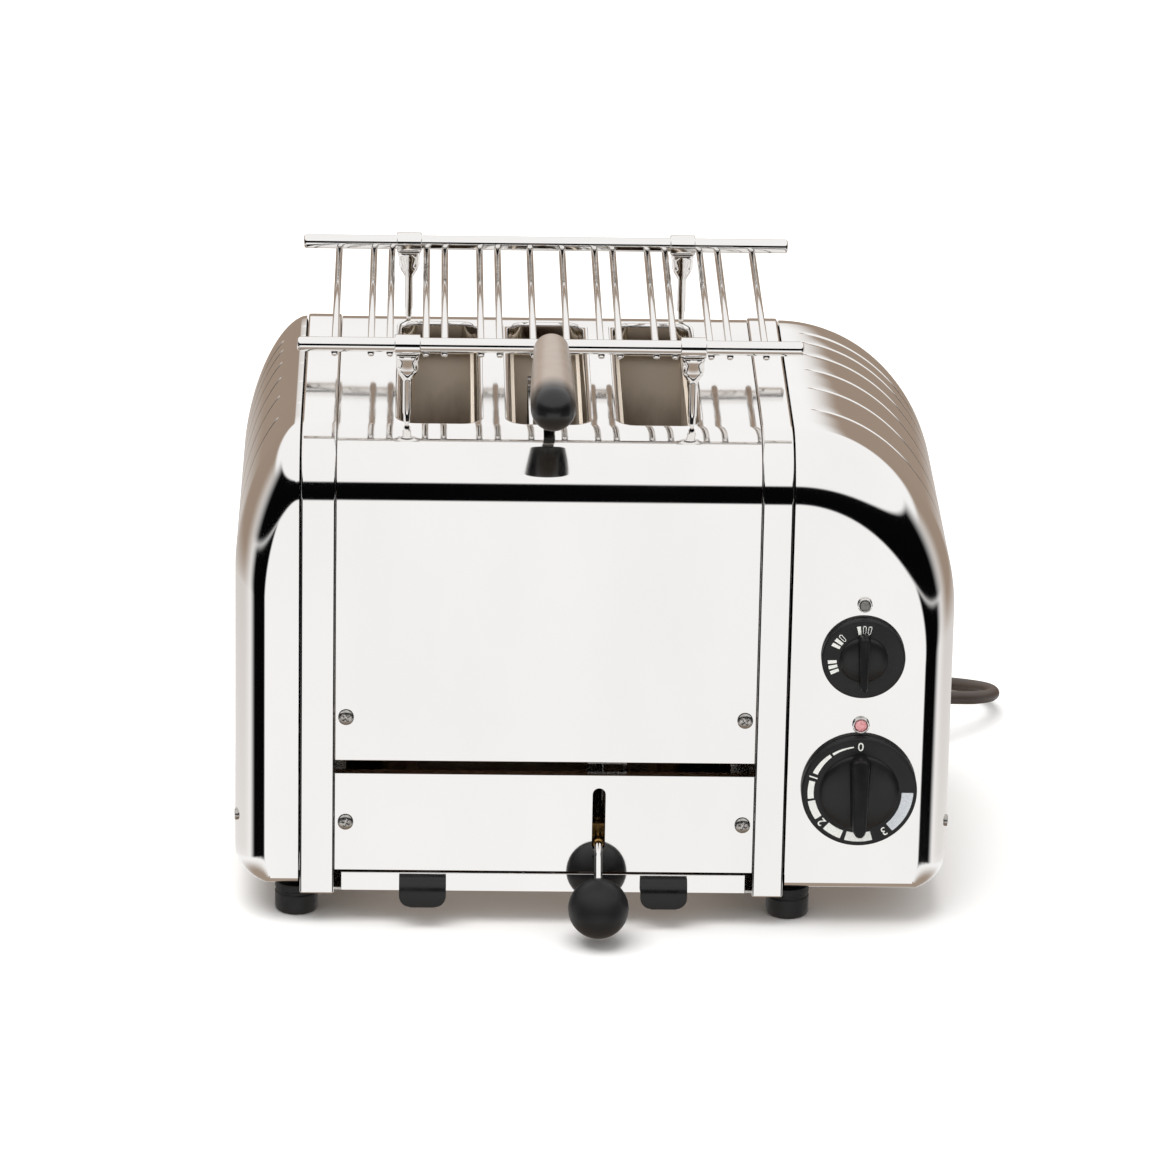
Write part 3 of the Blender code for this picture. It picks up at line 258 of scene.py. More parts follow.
def polished_stainless(name):
    # Stainless sheet buffed to a mirror: sharp reflections, a little hazier where it has been wiped.
    # Buffing marks are a tenth of a millimetre apart, drawn at half a millimetre so that they show.
    steel = settings().steel
    return surface(name, (steel, shade(steel, 0.96)), 1.0, (0.035, 0.075), (60 * MM, 3.0, (1, 1, 0.4)),
                   grain=(0.5 * MM, 1.0, (0.05, 1, 1), 0.0006 * MM, 0.3))


def chromium_plate(name):
    # Bright chromium over drawn wire: a mirror with very faint ripples from the plating.
    return surface(name, tuple(settings().wire), 1.0, (0.04, 0.1), (8 * MM, 2.0, EVEN),
                   grain=(2 * MM, 2.0, EVEN, 0.002 * MM, 0.4))


def zinc_plate(name):
    # Zinc-plated screws and chassis: grey, softly bright, with small crystals.
    return surface(name, (linear("CFCCC8"), linear("A5A29E")), 1.0, (0.18, 0.34), (1.2 * MM, 3.0, EVEN))


def inner_steel_painted_shade(name):
    # Rolled steel inside the slots: straw at the top, and brown lower down as painted shade where little
    # light reaches, with a ragged edge.
    made = surface(name, (linear("6E523C"), settings().inside), 0.2, (0.3, 0.5),
                   (14 * MM, 4.0, (1, 1, 0.35)), grain=(0.6 * MM, 2.0, (1, 1, 0.05), 0.02 * MM, 0.5))
    tree = made.node_tree
    # Painted shade: brown lower down in the slots and straw higher up, set by height, with a ragged edge.
    height = add(tree, "ShaderNodeSeparateXYZ", links={"Vector": tree.nodes["place"].outputs["Object"]})
    ragged = add(tree, "ShaderNodeMath", {1: SHADE_RAGGED}, {0: tree.nodes["tone_noise"].outputs["Fac"]},
                 operation="MULTIPLY")
    level = add(tree, "ShaderNodeMath", links={0: height.outputs["Z"], 1: ragged.outputs[0]},
                operation="ADD")
    share = add(tree, "ShaderNodeMapRange",
                {"From Min": SHADE_LOW, "From Max": SHADE_HIGH, "To Min": NOISE_SPAN[0],
                 "To Max": NOISE_SPAN[1]}, {"Value": level.outputs[0]})
    tree.links.new(share.outputs["Result"], tree.nodes["tones"].inputs["Fac"])
    return made


def turned_brass(name):
    # Bar brass turned on a lathe and left bare: warm, a little dull.
    return surface(name, (linear("B08A52"), linear("8A6A3C")), 1.0, (0.2, 0.4), (4 * MM, 2.0, EVEN))


def moulded_phenolic(name):
    # Phenolic moulded against a polished tool: black, glossy, with a slight orange peel.
    black = settings().black
    return surface(name, (black, shade(black, 1.5, 0.002)), 0.0, (0.26, 0.4), (9 * MM, 3.0, EVEN),
                   grain=(1.5 * MM, 1.0, EVEN, 0.01 * MM, 0.5), Specular_IOR_Level=0.4)


def sparked_abs(name):
    # ABS moulded in a spark-eroded tool: black and satin, with a fine even grain.
    # The grain is 0.15 mm, drawn at 0.35 mm so that it shows.
    black = shade(settings().black, 1.6)
    spark = (0.35 * MM, 2.0, EVEN)
    return surface(name, (black, shade(black, 1.35, 0.001)), 0.0, (0.38, 0.56), (12 * MM, 2.0, EVEN),
                   rough_lumps=spark, grain=(*spark, 0.03 * MM, 0.5), Specular_IOR_Level=0.4)


def sheath_rubber(name):
    # Rubber sheath drawn round the cores: dark brown-black with a soft sheen along its length.
    cord = settings().cord
    return surface(name, (cord, shade(cord, 1.4)), 0.0, (0.34, 0.5), (6 * MM, 3.0, EVEN),
                   grain=(0.8 * MM, 2.0, EVEN, 0.02 * MM, 0.5))


def black_grip_painted_highlight(name):
    # Black lacquered phenolic handle with a painted highlight: taupe painted on top, where it faces the
    # light, black underneath and at the rounded end.
    made = surface(name, (linear("0B0B0C"), linear("8F8277")), 0.0, (0.3, 0.42), (7 * MM, 2.0, EVEN),
                   Coat_Weight=0.3, Coat_Roughness=0.15)
    tree = made.node_tree
    along = add(tree, "ShaderNodeSeparateXYZ", links={"Vector": tree.nodes["place"].outputs["Object"]})
    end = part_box("cage_grip")[0].y
    share = add(tree, "ShaderNodeMapRange",
                {"From Min": end + HIGHLIGHT_START, "From Max": end + HIGHLIGHT_END}, {"Value": along.outputs["Y"]},
                interpolation_type="SMOOTHSTEP")
    # Painted highlight: taupe where the surface faces up, the grip's own black where it faces down.
    upward = add(tree, "ShaderNodeSeparateXYZ", links={"Vector": tree.nodes["place"].outputs["Normal"]})
    lit = add(tree, "ShaderNodeMapRange", {"From Min": -0.4, "From Max": 0.1},
              {"Value": upward.outputs["Z"]})
    highlight = add(tree, "ShaderNodeMath", links={0: share.outputs["Result"], 1: lit.outputs["Result"]},
               operation="MULTIPLY")
    spanned = add(tree, "ShaderNodeMapRange", {"To Min": NOISE_SPAN[0], "To Max": NOISE_SPAN[1]},
                  {"Value": highlight.outputs[0]})
    tree.links.new(spanned.outputs["Result"], tree.nodes["tones"].inputs["Fac"])
    return made


def foot_rubber(name):
    # Moulded nitrile rubber: black and matte, lighter with dust in random patches.
    return surface(name, (linear("121213"), linear("252526")), 0.0, (0.45, 0.7), (3 * MM, 4.0, EVEN),
                   grain=(0.5 * MM, 2.0, EVEN, 0.03 * MM, 0.6))


def pressed_mica(name):
    # Mica flakes pressed into board: tan, with silvery flakes 3 mm across.
    return surface(name, (linear("7E6A4C"), linear("C6B592")), 0.0, (0.3, 0.6), (3 * MM, 0.0, EVEN),
                   flakes=True)


def resistance_ribbon(name):
    # Nickel-chromium ribbon after many heatings: dull brown-grey oxide.
    return surface(name, (linear("54473D"), linear("83705F")), 0.8, 0.5, (5 * MM, 3.0, EVEN))


def white_print(name):
    # Pad-printed ink on the dials: off-white and slightly uneven.
    return surface(name, (linear("DEDED8"), linear("F4F4F0")), 0.0, 0.5, (0.8 * MM, 2.0, EVEN))


def grey_print(name):
    # The same ink tinted light grey, for the wide part of the timer's scale.
    return surface(name, (linear("BCC0C6"), linear("D4D8DC")), 0.0, 0.5, (0.8 * MM, 2.0, EVEN))


def neon_lens(name):
    # Clear pink acrylic over an unlit neon: glossy, paler in random patches.
    return surface(name, (settings().lens, linear("EDB3B4")), 0.0, 0.12, (1.5 * MM, 2.0, EVEN),
                   IOR=1.49, Coat_Weight=0.5)


def button_grey(name):
    # Grey acetal button: satin and plain.
    return surface(name, (linear("64635F"), linear("7C7B77")), 0.0, 0.35, (2 * MM, 2.0, EVEN))


def pale_floor(name):
    # A matte white painted board, with a very slight unevenness.
    return surface(name, (linear("F5F4F2"), linear("FAF9F8")), 0.0, 0.85, (400 * MM, 2.0, EVEN))


FINISHES = {finish.__name__: finish for finish in (
    polished_stainless, chromium_plate, zinc_plate, inner_steel_painted_shade, turned_brass, moulded_phenolic,
    sparked_abs, sheath_rubber, black_grip_painted_highlight, foot_rubber, pressed_mica, resistance_ribbon, white_print,
    grey_print, neon_lens, button_grey, pale_floor)}


# Meshes

def shown(name, mesh, finish, body, replaces=()):
    """Puts a finished mesh or curve in the scene as a piece that rides on a body."""
    mesh.materials.clear()
    mesh.materials.append(finish_of(finish))
    piece = bpy.data.objects.new(name, mesh)
    bpy.context.scene.collection.objects.link(piece)
    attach(piece, body)
    if replaces:
        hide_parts(*replaces)
    return piece


def mesh_of(name, bm, angle=35):
    bmesh.ops.recalc_face_normals(bm, faces=bm.faces)
    mesh = bpy.data.meshes.new(name)
    bm.to_mesh(mesh)
    bm.free()
    mesh.shade_smooth()
    mesh.set_sharp_from_angle(angle=math.radians(angle))
    return mesh


def soften(piece, width, segments=3, angle=50):
    """Rounds a piece's sharp edges and keeps its flat faces flat in reflections."""
    bevel = piece.modifiers.new("edges", "BEVEL")
    bevel.width = width
    bevel.segments = segments
    bevel.limit_method = "ANGLE"
    bevel.angle_limit = math.radians(angle)
    bevel.harden_normals = False
    steady = piece.modifiers.new("flats", "WEIGHTED_NORMAL")
    steady.keep_sharp = True
    return piece


def settled(piece):
    """Applies a piece's modifiers to its mesh."""
    graph = bpy.context.evaluated_depsgraph_get()
    mesh = bpy.data.meshes.new_from_object(piece.evaluated_get(graph), depsgraph=graph)
    piece.modifiers.clear()
    piece.data = mesh
    return piece


def cut_away(piece, mesh):
    """Takes a closed mesh out of a piece."""
    tool = bpy.data.objects.new("cutting_tool", mesh)
    bpy.context.scene.collection.objects.link(tool)
    cut = piece.modifiers.new("cut", "BOOLEAN")
    cut.operation = "DIFFERENCE"
    cut.solver = "EXACT"
    cut.object = tool
    settled(piece)
    bpy.data.objects.remove(tool)


def arc(centre, radius, start, end, steps):
    points = []
    for i in range(steps + 1):
        angle = math.radians(start + (end - start) * i / steps)
        points.append((centre[0] + radius * math.cos(angle), centre[1] + radius * math.sin(angle)))
    return points


def quarter(steps):
    """The angles of a quarter turn, after its start."""
    return [math.pi / 2 * i / steps for i in range(1, steps + 1)]


def rounded_rectangle(width, height, radius, steps=6):
    a, b = width / 2 - radius, height / 2 - radius
    points = []
    for da, db, start in ((a, b, 0), (-a, b, 90), (-a, -b, 180), (a, -b, 270)):
        points += arc((da, db), radius, start, start + 90, steps)
    return points


def add_rings(bm, rings, closed=False, caps=True):
    """Joins rings of points, equal in count, by a skin. A closed set comes back to its first ring."""
    rows = [[bm.verts.new(p) for p in ring] for ring in rings]
    pairs = list(zip(rows, rows[1:]))
    if closed:
        pairs.append((rows[-1], rows[0]))
    count = len(rows[0])
    for first, second in pairs:
        for i in range(count):
            j = (i + 1) % count
            bm.faces.new((first[i], first[j], second[j], second[i]))
    if caps and not closed:
        bm.faces.new(rows[0][::-1])
        bm.faces.new(rows[-1])
    return rows


def add_prism(bm, outline, axis, low, high):
    """An outline in the two axes across, extruded from low to high."""
    across, up, along = {"X": (1, 2, 0), "Y": (0, 2, 1), "Z": (0, 1, 2)}[axis]
    rings = []
    for level in (low, high):
        ring = []
        for a, b in outline:
            point = [0.0, 0.0, 0.0]
            point[across], point[up], point[along] = a, b, level
            ring.append(point)
        rings.append(ring)
    add_rings(bm, rings)


def circle(centre, side, other, radius, steps):
    """Points round a centre, in the plane of two directions."""
    turns = [2 * math.pi * k / steps for k in range(steps)]
    return [centre + radius * (math.cos(turn) * side + math.sin(turn) * other) for turn in turns]


def add_lathe(bm, profile, centre, axis, steps, closed=False):
    """A profile of (radius, distance along the axis) turned about it. It ends at tiny rings."""
    direction = Vector(axis).normalized()
    side = direction.orthogonal().normalized()
    other = direction.cross(side)
    rings = [circle(Vector(centre) + direction * height, side, other, max(radius, TINY), steps)
             for radius, height in profile]
    add_rings(bm, rings, closed)


def add_tube(bm, points, radii, sides=16):
    """A round skin along points, whose radius may change from point to point."""
    points = [Vector(p) for p in points]
    rings = []
    side = None
    for i, point in enumerate(points):
        ahead = points[min(i + 1, len(points) - 1)] - points[max(i - 1, 0)]
        ahead.normalize()
        if side is None:
            side = ahead.orthogonal().normalized()
        side = (side - ahead * side.dot(ahead)).normalized()
        other = ahead.cross(side)
        radius = radii[i] if isinstance(radii, (list, tuple)) else radii
        rings.append(circle(point, side, other, radius, sides))
    add_rings(bm, rings)


def smooth_route(route, steps):
    """Points along a Catmull-Rom curve through a route."""
    knots = [Vector(p) for p in route]
    knots = [2 * knots[0] - knots[1]] + knots + [2 * knots[-1] - knots[-2]]
    points = []
    for before, start, end, after in zip(knots, knots[1:], knots[2:], knots[3:]):
        for i in range(steps):
            t = i / steps
            points.append(0.5 * (2 * start + (end - before) * t
                                 + (2 * before - 5 * start + 4 * end - after) * t ** 2
                                 + (3 * start - before - 3 * end + after) * t ** 3))
    points.append(knots[-2])
    return points


def refined(name, node, finish, body, width, angle=50):
    """A copy of a CAD node with its edges rounded, shown in its place."""
    piece = shown(name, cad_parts[node].data.copy(), finish, body, [node])
    bm = bmesh.new()
    bm.from_mesh(piece.data)
    bmesh.ops.remove_doubles(bm, verts=bm.verts, dist=0.02 * MM)
    bmesh.ops.dissolve_limit(bm, angle_limit=math.radians(1), verts=bm.verts, edges=bm.edges)
    bm.to_mesh(piece.data)
    bm.free()
    piece.data.shade_smooth()
    return soften(piece, width, 2, angle)


def smoothstep(value, low, high):
    t = min(max((value - low) / (high - low), 0.0), 1.0)
    return t * t * (3 - 2 * t)


# Casing

def arch(proud, front_bottom, rear_bottom, thickness):
    """The band seen from the side: up the front, over the top and down the rear."""
    def path(offset):
        depth = HALF_DEPTH + offset
        top = TOP_Z + offset
        radius = TOP_FILLET + offset
        return ([(MIDDLE_Y - depth, front_bottom)]
                + arc((MIDDLE_Y - depth + radius, top - radius), radius, 180, 90, 28)
                + arc((MIDDLE_Y + depth - radius, top - radius), radius, 90, 0, 28)
                + [(MIDDLE_Y + depth, rear_bottom)])
    return path(proud) + path(proud - thickness)[::-1]


def make_shell():
    low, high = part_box("top_shell")
    bm = bmesh.new()
    add_prism(bm, arch(0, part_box("lower_front_panel")[1].z + 6 * MM, low.z, SHEET), "X", low.x, high.x)
    shell = shown("shell", mesh_of("shell", bm), "polished_stainless", "casing",
                  ["top_shell"])
    lip = settings().lip_radius
    width, length, corner = SLOT_SIZE
    for x in SLOT_XS:
        tool = bmesh.new()
        hole = [(x + a, MIDDLE_Y + b) for a, b in
                rounded_rectangle(width + 2 * lip, length + 2 * lip, corner + lip, 10)]
        add_prism(tool, hole, "Z", TOP_Z - 12 * MM, TOP_Z + 12 * MM)
        cut_away(shell, mesh_of("slot_tool", tool))
    shell.data.shade_smooth()
    soften(shell, 0.35 * MM, 2, 60)
    for label, x in zip(("left", "middle", "right"), SLOT_XS):
        make_lip("slot_lip_" + label, x, lip)


def make_lip(name, x, lip):
    """The edge of a bread slot: rolled over from the top and turned down inside."""
    width, length, corner = SLOT_SIZE
    wall, drop = 0.8 * MM, 9 * MM
    profile = [(lip, 0.0)]
    profile += [(lip - lip * math.sin(a), lip * math.cos(a) - lip) for a in quarter(7)]
    profile += [(0.0, -drop), (wall, -drop), (wall, -lip)]
    profile += [(lip - (lip - wall) * math.cos(a), (lip - wall) * math.sin(a) - lip)
                for a in quarter(4)]
    rings = []
    for out, z in profile:
        rings.append([(x + a, MIDDLE_Y + b, TOP_Z + z) for a, b in
                      rounded_rectangle(width + 2 * out, length + 2 * out, corner + out, 10)])
    bm = bmesh.new()
    add_rings(bm, rings, closed=True)
    shown(name, mesh_of(name, bm, 50), "polished_stainless", "casing")


def make_trims():
    for side in ("left", "right"):
        node = side + "_trim_band"
        low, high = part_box(node)
        bm = bmesh.new()
        proud = (high.y - low.y) / 2 - HALF_DEPTH
        add_prism(bm, arch(proud, low.z, low.z, SHEET + proud), "X", low.x, high.x)
        trim = shown(side + "_trim", mesh_of(side + "_trim", bm), "polished_stainless", "casing",
                     [node])
        soften(trim, 0.8 * MM, 3, 60)


GROOVE_YS = [y * MM for y in (-45, -16, 9, 30, 47, 60)]
GROOVE_TOP, GROOVE_TOP_FADE = 10 * MM, 7 * MM   # from the joint to each groove, and its run-out
GROOVE_LOW, GROOVE_LOW_FADE = 70 * MM, 90 * MM  # height of the lower ends, and their run-out


def shoulder(start_x, start_z, reach, drop, roundness, sign, steps):
    points = []
    for i in range(steps + 1):
        angle = math.pi / 2 * i / steps
        points.append(Vector((start_x + sign * reach * math.sin(angle) ** (2 / roundness), 0,
                              start_z - drop * (1 - math.cos(angle) ** (2 / roundness)))))
    return points


def cover_curves(start_x, width, curve, sign):
    """The cover's outline at its widest and the outline of its flat face, point for point."""
    drop, roundness, face_drop = curve
    shoulder_steps, side_steps, corner_steps = 56, 30, 8
    side = start_x + sign * width
    face_side = start_x + sign * (width - COVER_SIDE_INSET)
    outline = shoulder(start_x, TOP_Z, width, drop, roundness, sign, shoulder_steps)
    face = shoulder(start_x, TOP_Z - TOP_FILLET, width - COVER_SIDE_INSET, face_drop, roundness,
                    sign, shoulder_steps)
    corner_z = BASE_Z + COVER_CORNER
    high, face_high = outline[-1].z, face[-1].z
    lowest = BASE_Z + FACE_BOTTOM
    for i in range(1, side_steps):
        t = i / side_steps
        outline.append(Vector((side, 0, high + (corner_z - high) * t)))
        face.append(Vector((face_side, 0, face_high + (lowest + COVER_CORNER - face_high) * t)))
    for i, (a, b) in enumerate(arc((0, 0), COVER_CORNER, 0, -90, corner_steps)):
        outline.append(Vector((side - sign * COVER_CORNER + sign * a, 0, corner_z + b)))
        face.append(Vector((face_side, 0, lowest + COVER_CORNER * (1 - i / corner_steps))))
    outline.append(Vector((start_x, 0, BASE_Z)))
    face.append(Vector((start_x, 0, lowest)))
    kept = [0] + [i for i, point in enumerate(outline) if i > 0
                  and (abs(point.x - start_x) > 1.6 * MM or i == len(outline) - 1)]
    return [outline[i] for i in kept], [face[i] for i in kept]


def groove_at(y, height, travelled):
    """Depth of the pressed grooves at a place on a cover, as a share of the full depth."""
    half = settings().groove_half_width
    nearest = min(abs(y - g) for g in GROOVE_YS)
    if nearest >= half:
        return 0.0
    across = 0.5 + 0.5 * math.cos(math.pi * nearest / half)
    start = smoothstep(travelled, GROOVE_TOP, GROOVE_TOP + GROOVE_TOP_FADE)
    return across * start * smoothstep(height, GROOVE_LOW, GROOVE_LOW + GROOVE_LOW_FADE)


def make_cover(name, node, start_x, width, curve, sign):
    """One end cover: a skin from the front face round the side to the rear face, given a wall."""
    outline, face = cover_curves(start_x, width, curve, sign)
    half = settings().groove_half_width
    depth = settings().groove_depth
    fillet_steps = 14
    levels = [-(HALF_DEPTH - TOP_FILLET) + i * (HALF_DEPTH - TOP_FILLET) / 8 for i in range(17)]
    levels = [y for y in levels if min(abs(y - g) for g in GROOVE_YS) > 1.4 * half]
    for g in GROOVE_YS:
        levels += [g + half * k / 5 for k in range(-5, 6)]
    levels.sort()
    bm = bmesh.new()
    rows = []
    travelled = 0.0
    for index, (point, flat) in enumerate(zip(outline, face)):
        before = outline[max(index - 1, 0)]
        after = outline[min(index + 1, len(outline) - 1)]
        travelled += (point - before).length
        along = (after - before).normalized()
        inward = Vector((-along.z, 0, along.x)) * sign
        if inward.dot(flat - point) < 0:
            inward = -inward
        row = []
        for i in range(fillet_steps + 1):
            angle = math.pi / 2 * i / fillet_steps
            place = flat.lerp(point, math.sin(angle))
            place.y = -(HALF_DEPTH - TOP_FILLET) - TOP_FILLET * math.cos(angle)
            row.append(place)
        mirrored = [Vector((p.x, -p.y, p.z)) for p in row[::-1]]
        for y in levels:
            if abs(y) < HALF_DEPTH - TOP_FILLET - 0.5 * MM:
                share = groove_at(y, point.z, travelled)
                place = point + inward * depth * share
                place.y = y
                row.append(place)
        row += mirrored
        for place in row:
            place.y += MIDDLE_Y
        rows.append([bm.verts.new(p) for p in row])
    for first, second in zip(rows, rows[1:]):
        for i in range(len(first) - 1):
            bm.faces.new((first[i], first[i + 1], second[i + 1], second[i]))
    bm.faces.new([row[0] for row in rows])
    bm.faces.new([row[-1] for row in rows][::-1])
    cover = shown(name, mesh_of(name, bm, 60), "polished_stainless", "casing", [node])
    wall = cover.modifiers.new("wall", "SOLIDIFY")
    wall.thickness = COVER_WALL
    wall.offset = -1
    wall.use_even_offset = True
    settled(cover)
    return cover


def make_covers():
    joint = LEFT_HIGH.x - JOINT_GAP
    left = make_cover("left_cover", "left_end_cover", joint, joint - LEFT_LOW.x, LEFT_SHOULDER, -1)
    soften(left, COVER_EDGE, 3, 55)
    right = make_cover("right_cover", "right_end_cover", RIGHT_LOW.x + JOINT_GAP,
                       RIGHT_HIGH.x - RIGHT_LOW.x - JOINT_GAP, RIGHT_SHOULDER, 1)
    tool = bmesh.new()
    for node in ("timer_shaft", "selector_shaft", "neon_lens", "defrost_button"):
        low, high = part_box(node)
        middle = (low + high) / 2
        middle.y = FRONT_Y
        radius = (high.x - low.x) / 2 + HOLE_CLEARANCE
        add_lathe(tool, [(radius, -HOLE_REACH), (radius, HOLE_REACH)], middle, (0, 1, 0), 32)
    cut_away(right, mesh_of("hole_tool", tool))
    right.data.shade_smooth()
    soften(right, COVER_EDGE, 3, 55)
    for label, sign, low in (("left", -1, LEFT_LOW), ("right", 1, RIGHT_HIGH)):
        bm = bmesh.new()
        head = 2.6 * MM
        profile = [(0, -1.4 * MM), (head, -1.4 * MM), (head, -0.3 * MM), (head * 0.85, -0.05 * MM),
                   (head * 0.45, -0.02 * MM), (head * 0.4, -0.5 * MM), (0, -0.5 * MM)]
        for y in (-COVER_SCREW_Y, COVER_SCREW_Y):
            add_lathe(bm, profile, (low.x, MIDDLE_Y + y, BASE_Z + COVER_SCREW_Z), (sign, 0, 0), 24)
        shown(label + "_cover_screws", mesh_of(label + "_cover_screws", bm), "zinc_plate", "casing")


def make_screws():
    """Pan-head screws with a cross recess."""
    for x_label in ("left", "right"):
        for z_label, turn in (("lower", 20), ("upper", 55)):
            node = f"panel_screw_{z_label}_{x_label}"
            low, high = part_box(node)
            middle = (low + high) / 2
            radius = (high.x - low.x) / 2
            centre = Vector((middle.x, high.y, middle.z))
            tall = high.y - low.y
            profile = [(0, 0), (radius, 0), (radius, tall * 0.3)]
            profile += [(radius * math.cos(a), tall * (0.3 + 0.7 * math.sin(a))) for a in quarter(8)]
            bm = bmesh.new()
            add_lathe(bm, profile, centre, (0, -1, 0), 32)
            screw = shown(node + "_head", mesh_of(node, bm), "zinc_plate", "casing",
                          [node])
            for slot_turn in (turn, turn + 90):
                tool = bmesh.new()
                angle = math.radians(slot_turn)
                spin = Matrix.Rotation(angle, 4, "Y")
                half, thin = radius * 0.55, radius * 0.11
                ring = [spin @ Vector(p) for p in ((-half, 0, -thin), (half, 0, -thin), (half, 0, thin),
                                                   (-half, 0, thin))]
                add_rings(tool, [[centre + p + Vector((0, -tall * 0.35, 0)) for p in ring],
                                 [centre + p + Vector((0, -tall * 1.2, 0)) for p in ring]])
                cut_away(screw, mesh_of("recess_tool", tool))


def make_feet():
    for y_label in ("front", "rear"):
        for x_label in ("left", "right"):
            node = f"foot_{y_label}_{x_label}"
            low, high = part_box(node)
            radius = (high.x - low.x) / 2
            tall = high.z - low.z
            edge = 1.4 * MM
            profile = [(0, 0), (radius - edge, 0)]
            profile += [(radius - edge + edge * math.sin(a), edge - edge * math.cos(a))
                        for a in quarter(5)]
            waist = radius - 0.5 * MM
            profile += [(radius, tall * 0.62), (waist, tall * 0.66), (waist, tall * 0.74),
                        (radius, tall * 0.78), (radius, tall), (0, tall)]
            bm = bmesh.new()
            add_lathe(bm, profile, ((low.x + high.x) / 2, (low.y + high.y) / 2, low.z), (0, 0, 1), 48)
            shown(node + "_pad", mesh_of(node, bm), "foot_rubber", "casing", [node])


def make_tabs():
    """Curved black pulls with rounded lower corners, one on each side of the crumb tray."""
    for side in ("left", "right"):
        node = "tray_tab_" + side
        low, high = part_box(node)
        width = high.x - low.x
        middle = (low.x + high.x) / 2
        reach = high.y - low.y
        tall = high.z - low.z
        wall = 1.6 * MM
        corner = 5.5 * MM
        rows_out, rows_in = [], []
        steps, half_columns = 18, 6
        columns = range(-half_columns, half_columns + 1)
        for i in range(steps + 1):
            down = tall * i / steps
            if down < reach:
                angle = math.acos(1 - down / reach)
                out = reach * math.sin(angle)
            else:
                out = reach - 0.4 * MM * ((down - reach) / (tall - reach)) ** 2
            left_over = tall - down
            narrow = 0.0
            if left_over < corner:
                narrow = corner - math.sqrt(max(corner ** 2 - (corner - left_over) ** 2, 0))
            step = (width / 2 - narrow) / half_columns
            rows_out.append([(middle + step * k, high.y - out, high.z - down) for k in columns])
            rows_in.append([(middle + step * k, min(high.y - out + wall, high.y), high.z - down)
                            for k in columns])
        bm = bmesh.new()
        outer = [[bm.verts.new(p) for p in row] for row in rows_out]
        inner = [[bm.verts.new(p) for p in row] for row in rows_in]
        for i in range(steps):
            for k in range(2 * half_columns):
                bm.faces.new((outer[i][k], outer[i][k + 1], outer[i + 1][k + 1], outer[i + 1][k]))
                bm.faces.new((inner[i][k + 1], inner[i][k], inner[i + 1][k], inner[i + 1][k + 1]))
            for k in (0, 2 * half_columns):
                bm.faces.new((outer[i][k], inner[i][k], inner[i + 1][k], outer[i + 1][k]))
        for i in (0, steps):
            for k in range(2 * half_columns):
                bm.faces.new((outer[i][k], outer[i][k + 1], inner[i][k + 1], inner[i][k]))
        bmesh.ops.remove_doubles(bm, verts=bm.verts, dist=0.005 * MM)
        tab = shown(side + "_tray_pull", mesh_of(side + "_tray_pull", bm, 40), "moulded_phenolic", "tray",
                    [node])
        soften(tab, 0.3 * MM, 2, 60)


# Inside

INNER_FINISHES = {
    "inner_steel_painted_shade": ("element_frame", "bread_guards_left", "bread_guards_middle",
                           "bread_guards_right", "bread_rest_left", "bread_rest_middle",
                           "bread_rest_right", "carriage_frame"),
    "zinc_plate": ("chassis", "guide_bracket", "carriage_arm", "timer_body", "selector_switch",
                   "timer_shaft", "selector_shaft"),
    "chromium_plate": ("guide_rod", "cage_half_left", "cage_half_right"),
    "turned_brass": ("lever_block",),
}


def make_inside():
    for finish, nodes in INNER_FINISHES.items():
        for node in nodes:
            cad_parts[node].material_slots[0].material = finish_of(finish)
    count = settings().winding_count
    for number in range(1, 5):
        node = f"heating_element_{number}"
        low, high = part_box(node)
        board = refined(f"element_board_{number}", node, "pressed_mica", "casing", 0.25 * MM)
        board.modifiers["edges"].segments = 2
        bm = bmesh.new()
        ribbon, thick = 1.3 * MM, 0.25 * MM
        for i in range(count):
            z = low.z + (high.z - low.z) * (i + 0.7) / (count + 0.4)
            for x, sign in ((low.x, -1), (high.x, 1)):
                y_low, y_high = low.y + 5 * MM, high.y - 5 * MM
                outline = [(x, z), (x + sign * thick, z), (x + sign * thick, z + ribbon), (x, z + ribbon)]
                add_prism(bm, outline, "Y", y_low, y_high)
        shown(f"element_ribbon_{number}", mesh_of(f"element_ribbon_{number}", bm), "resistance_ribbon",
              "casing")


def make_front():
    refined("lower_panel", "lower_front_panel", "polished_stainless", "casing",
            0.5 * MM)
    refined("tray", "crumb_tray", "polished_stainless", "tray", 0.25 * MM)


# Lever

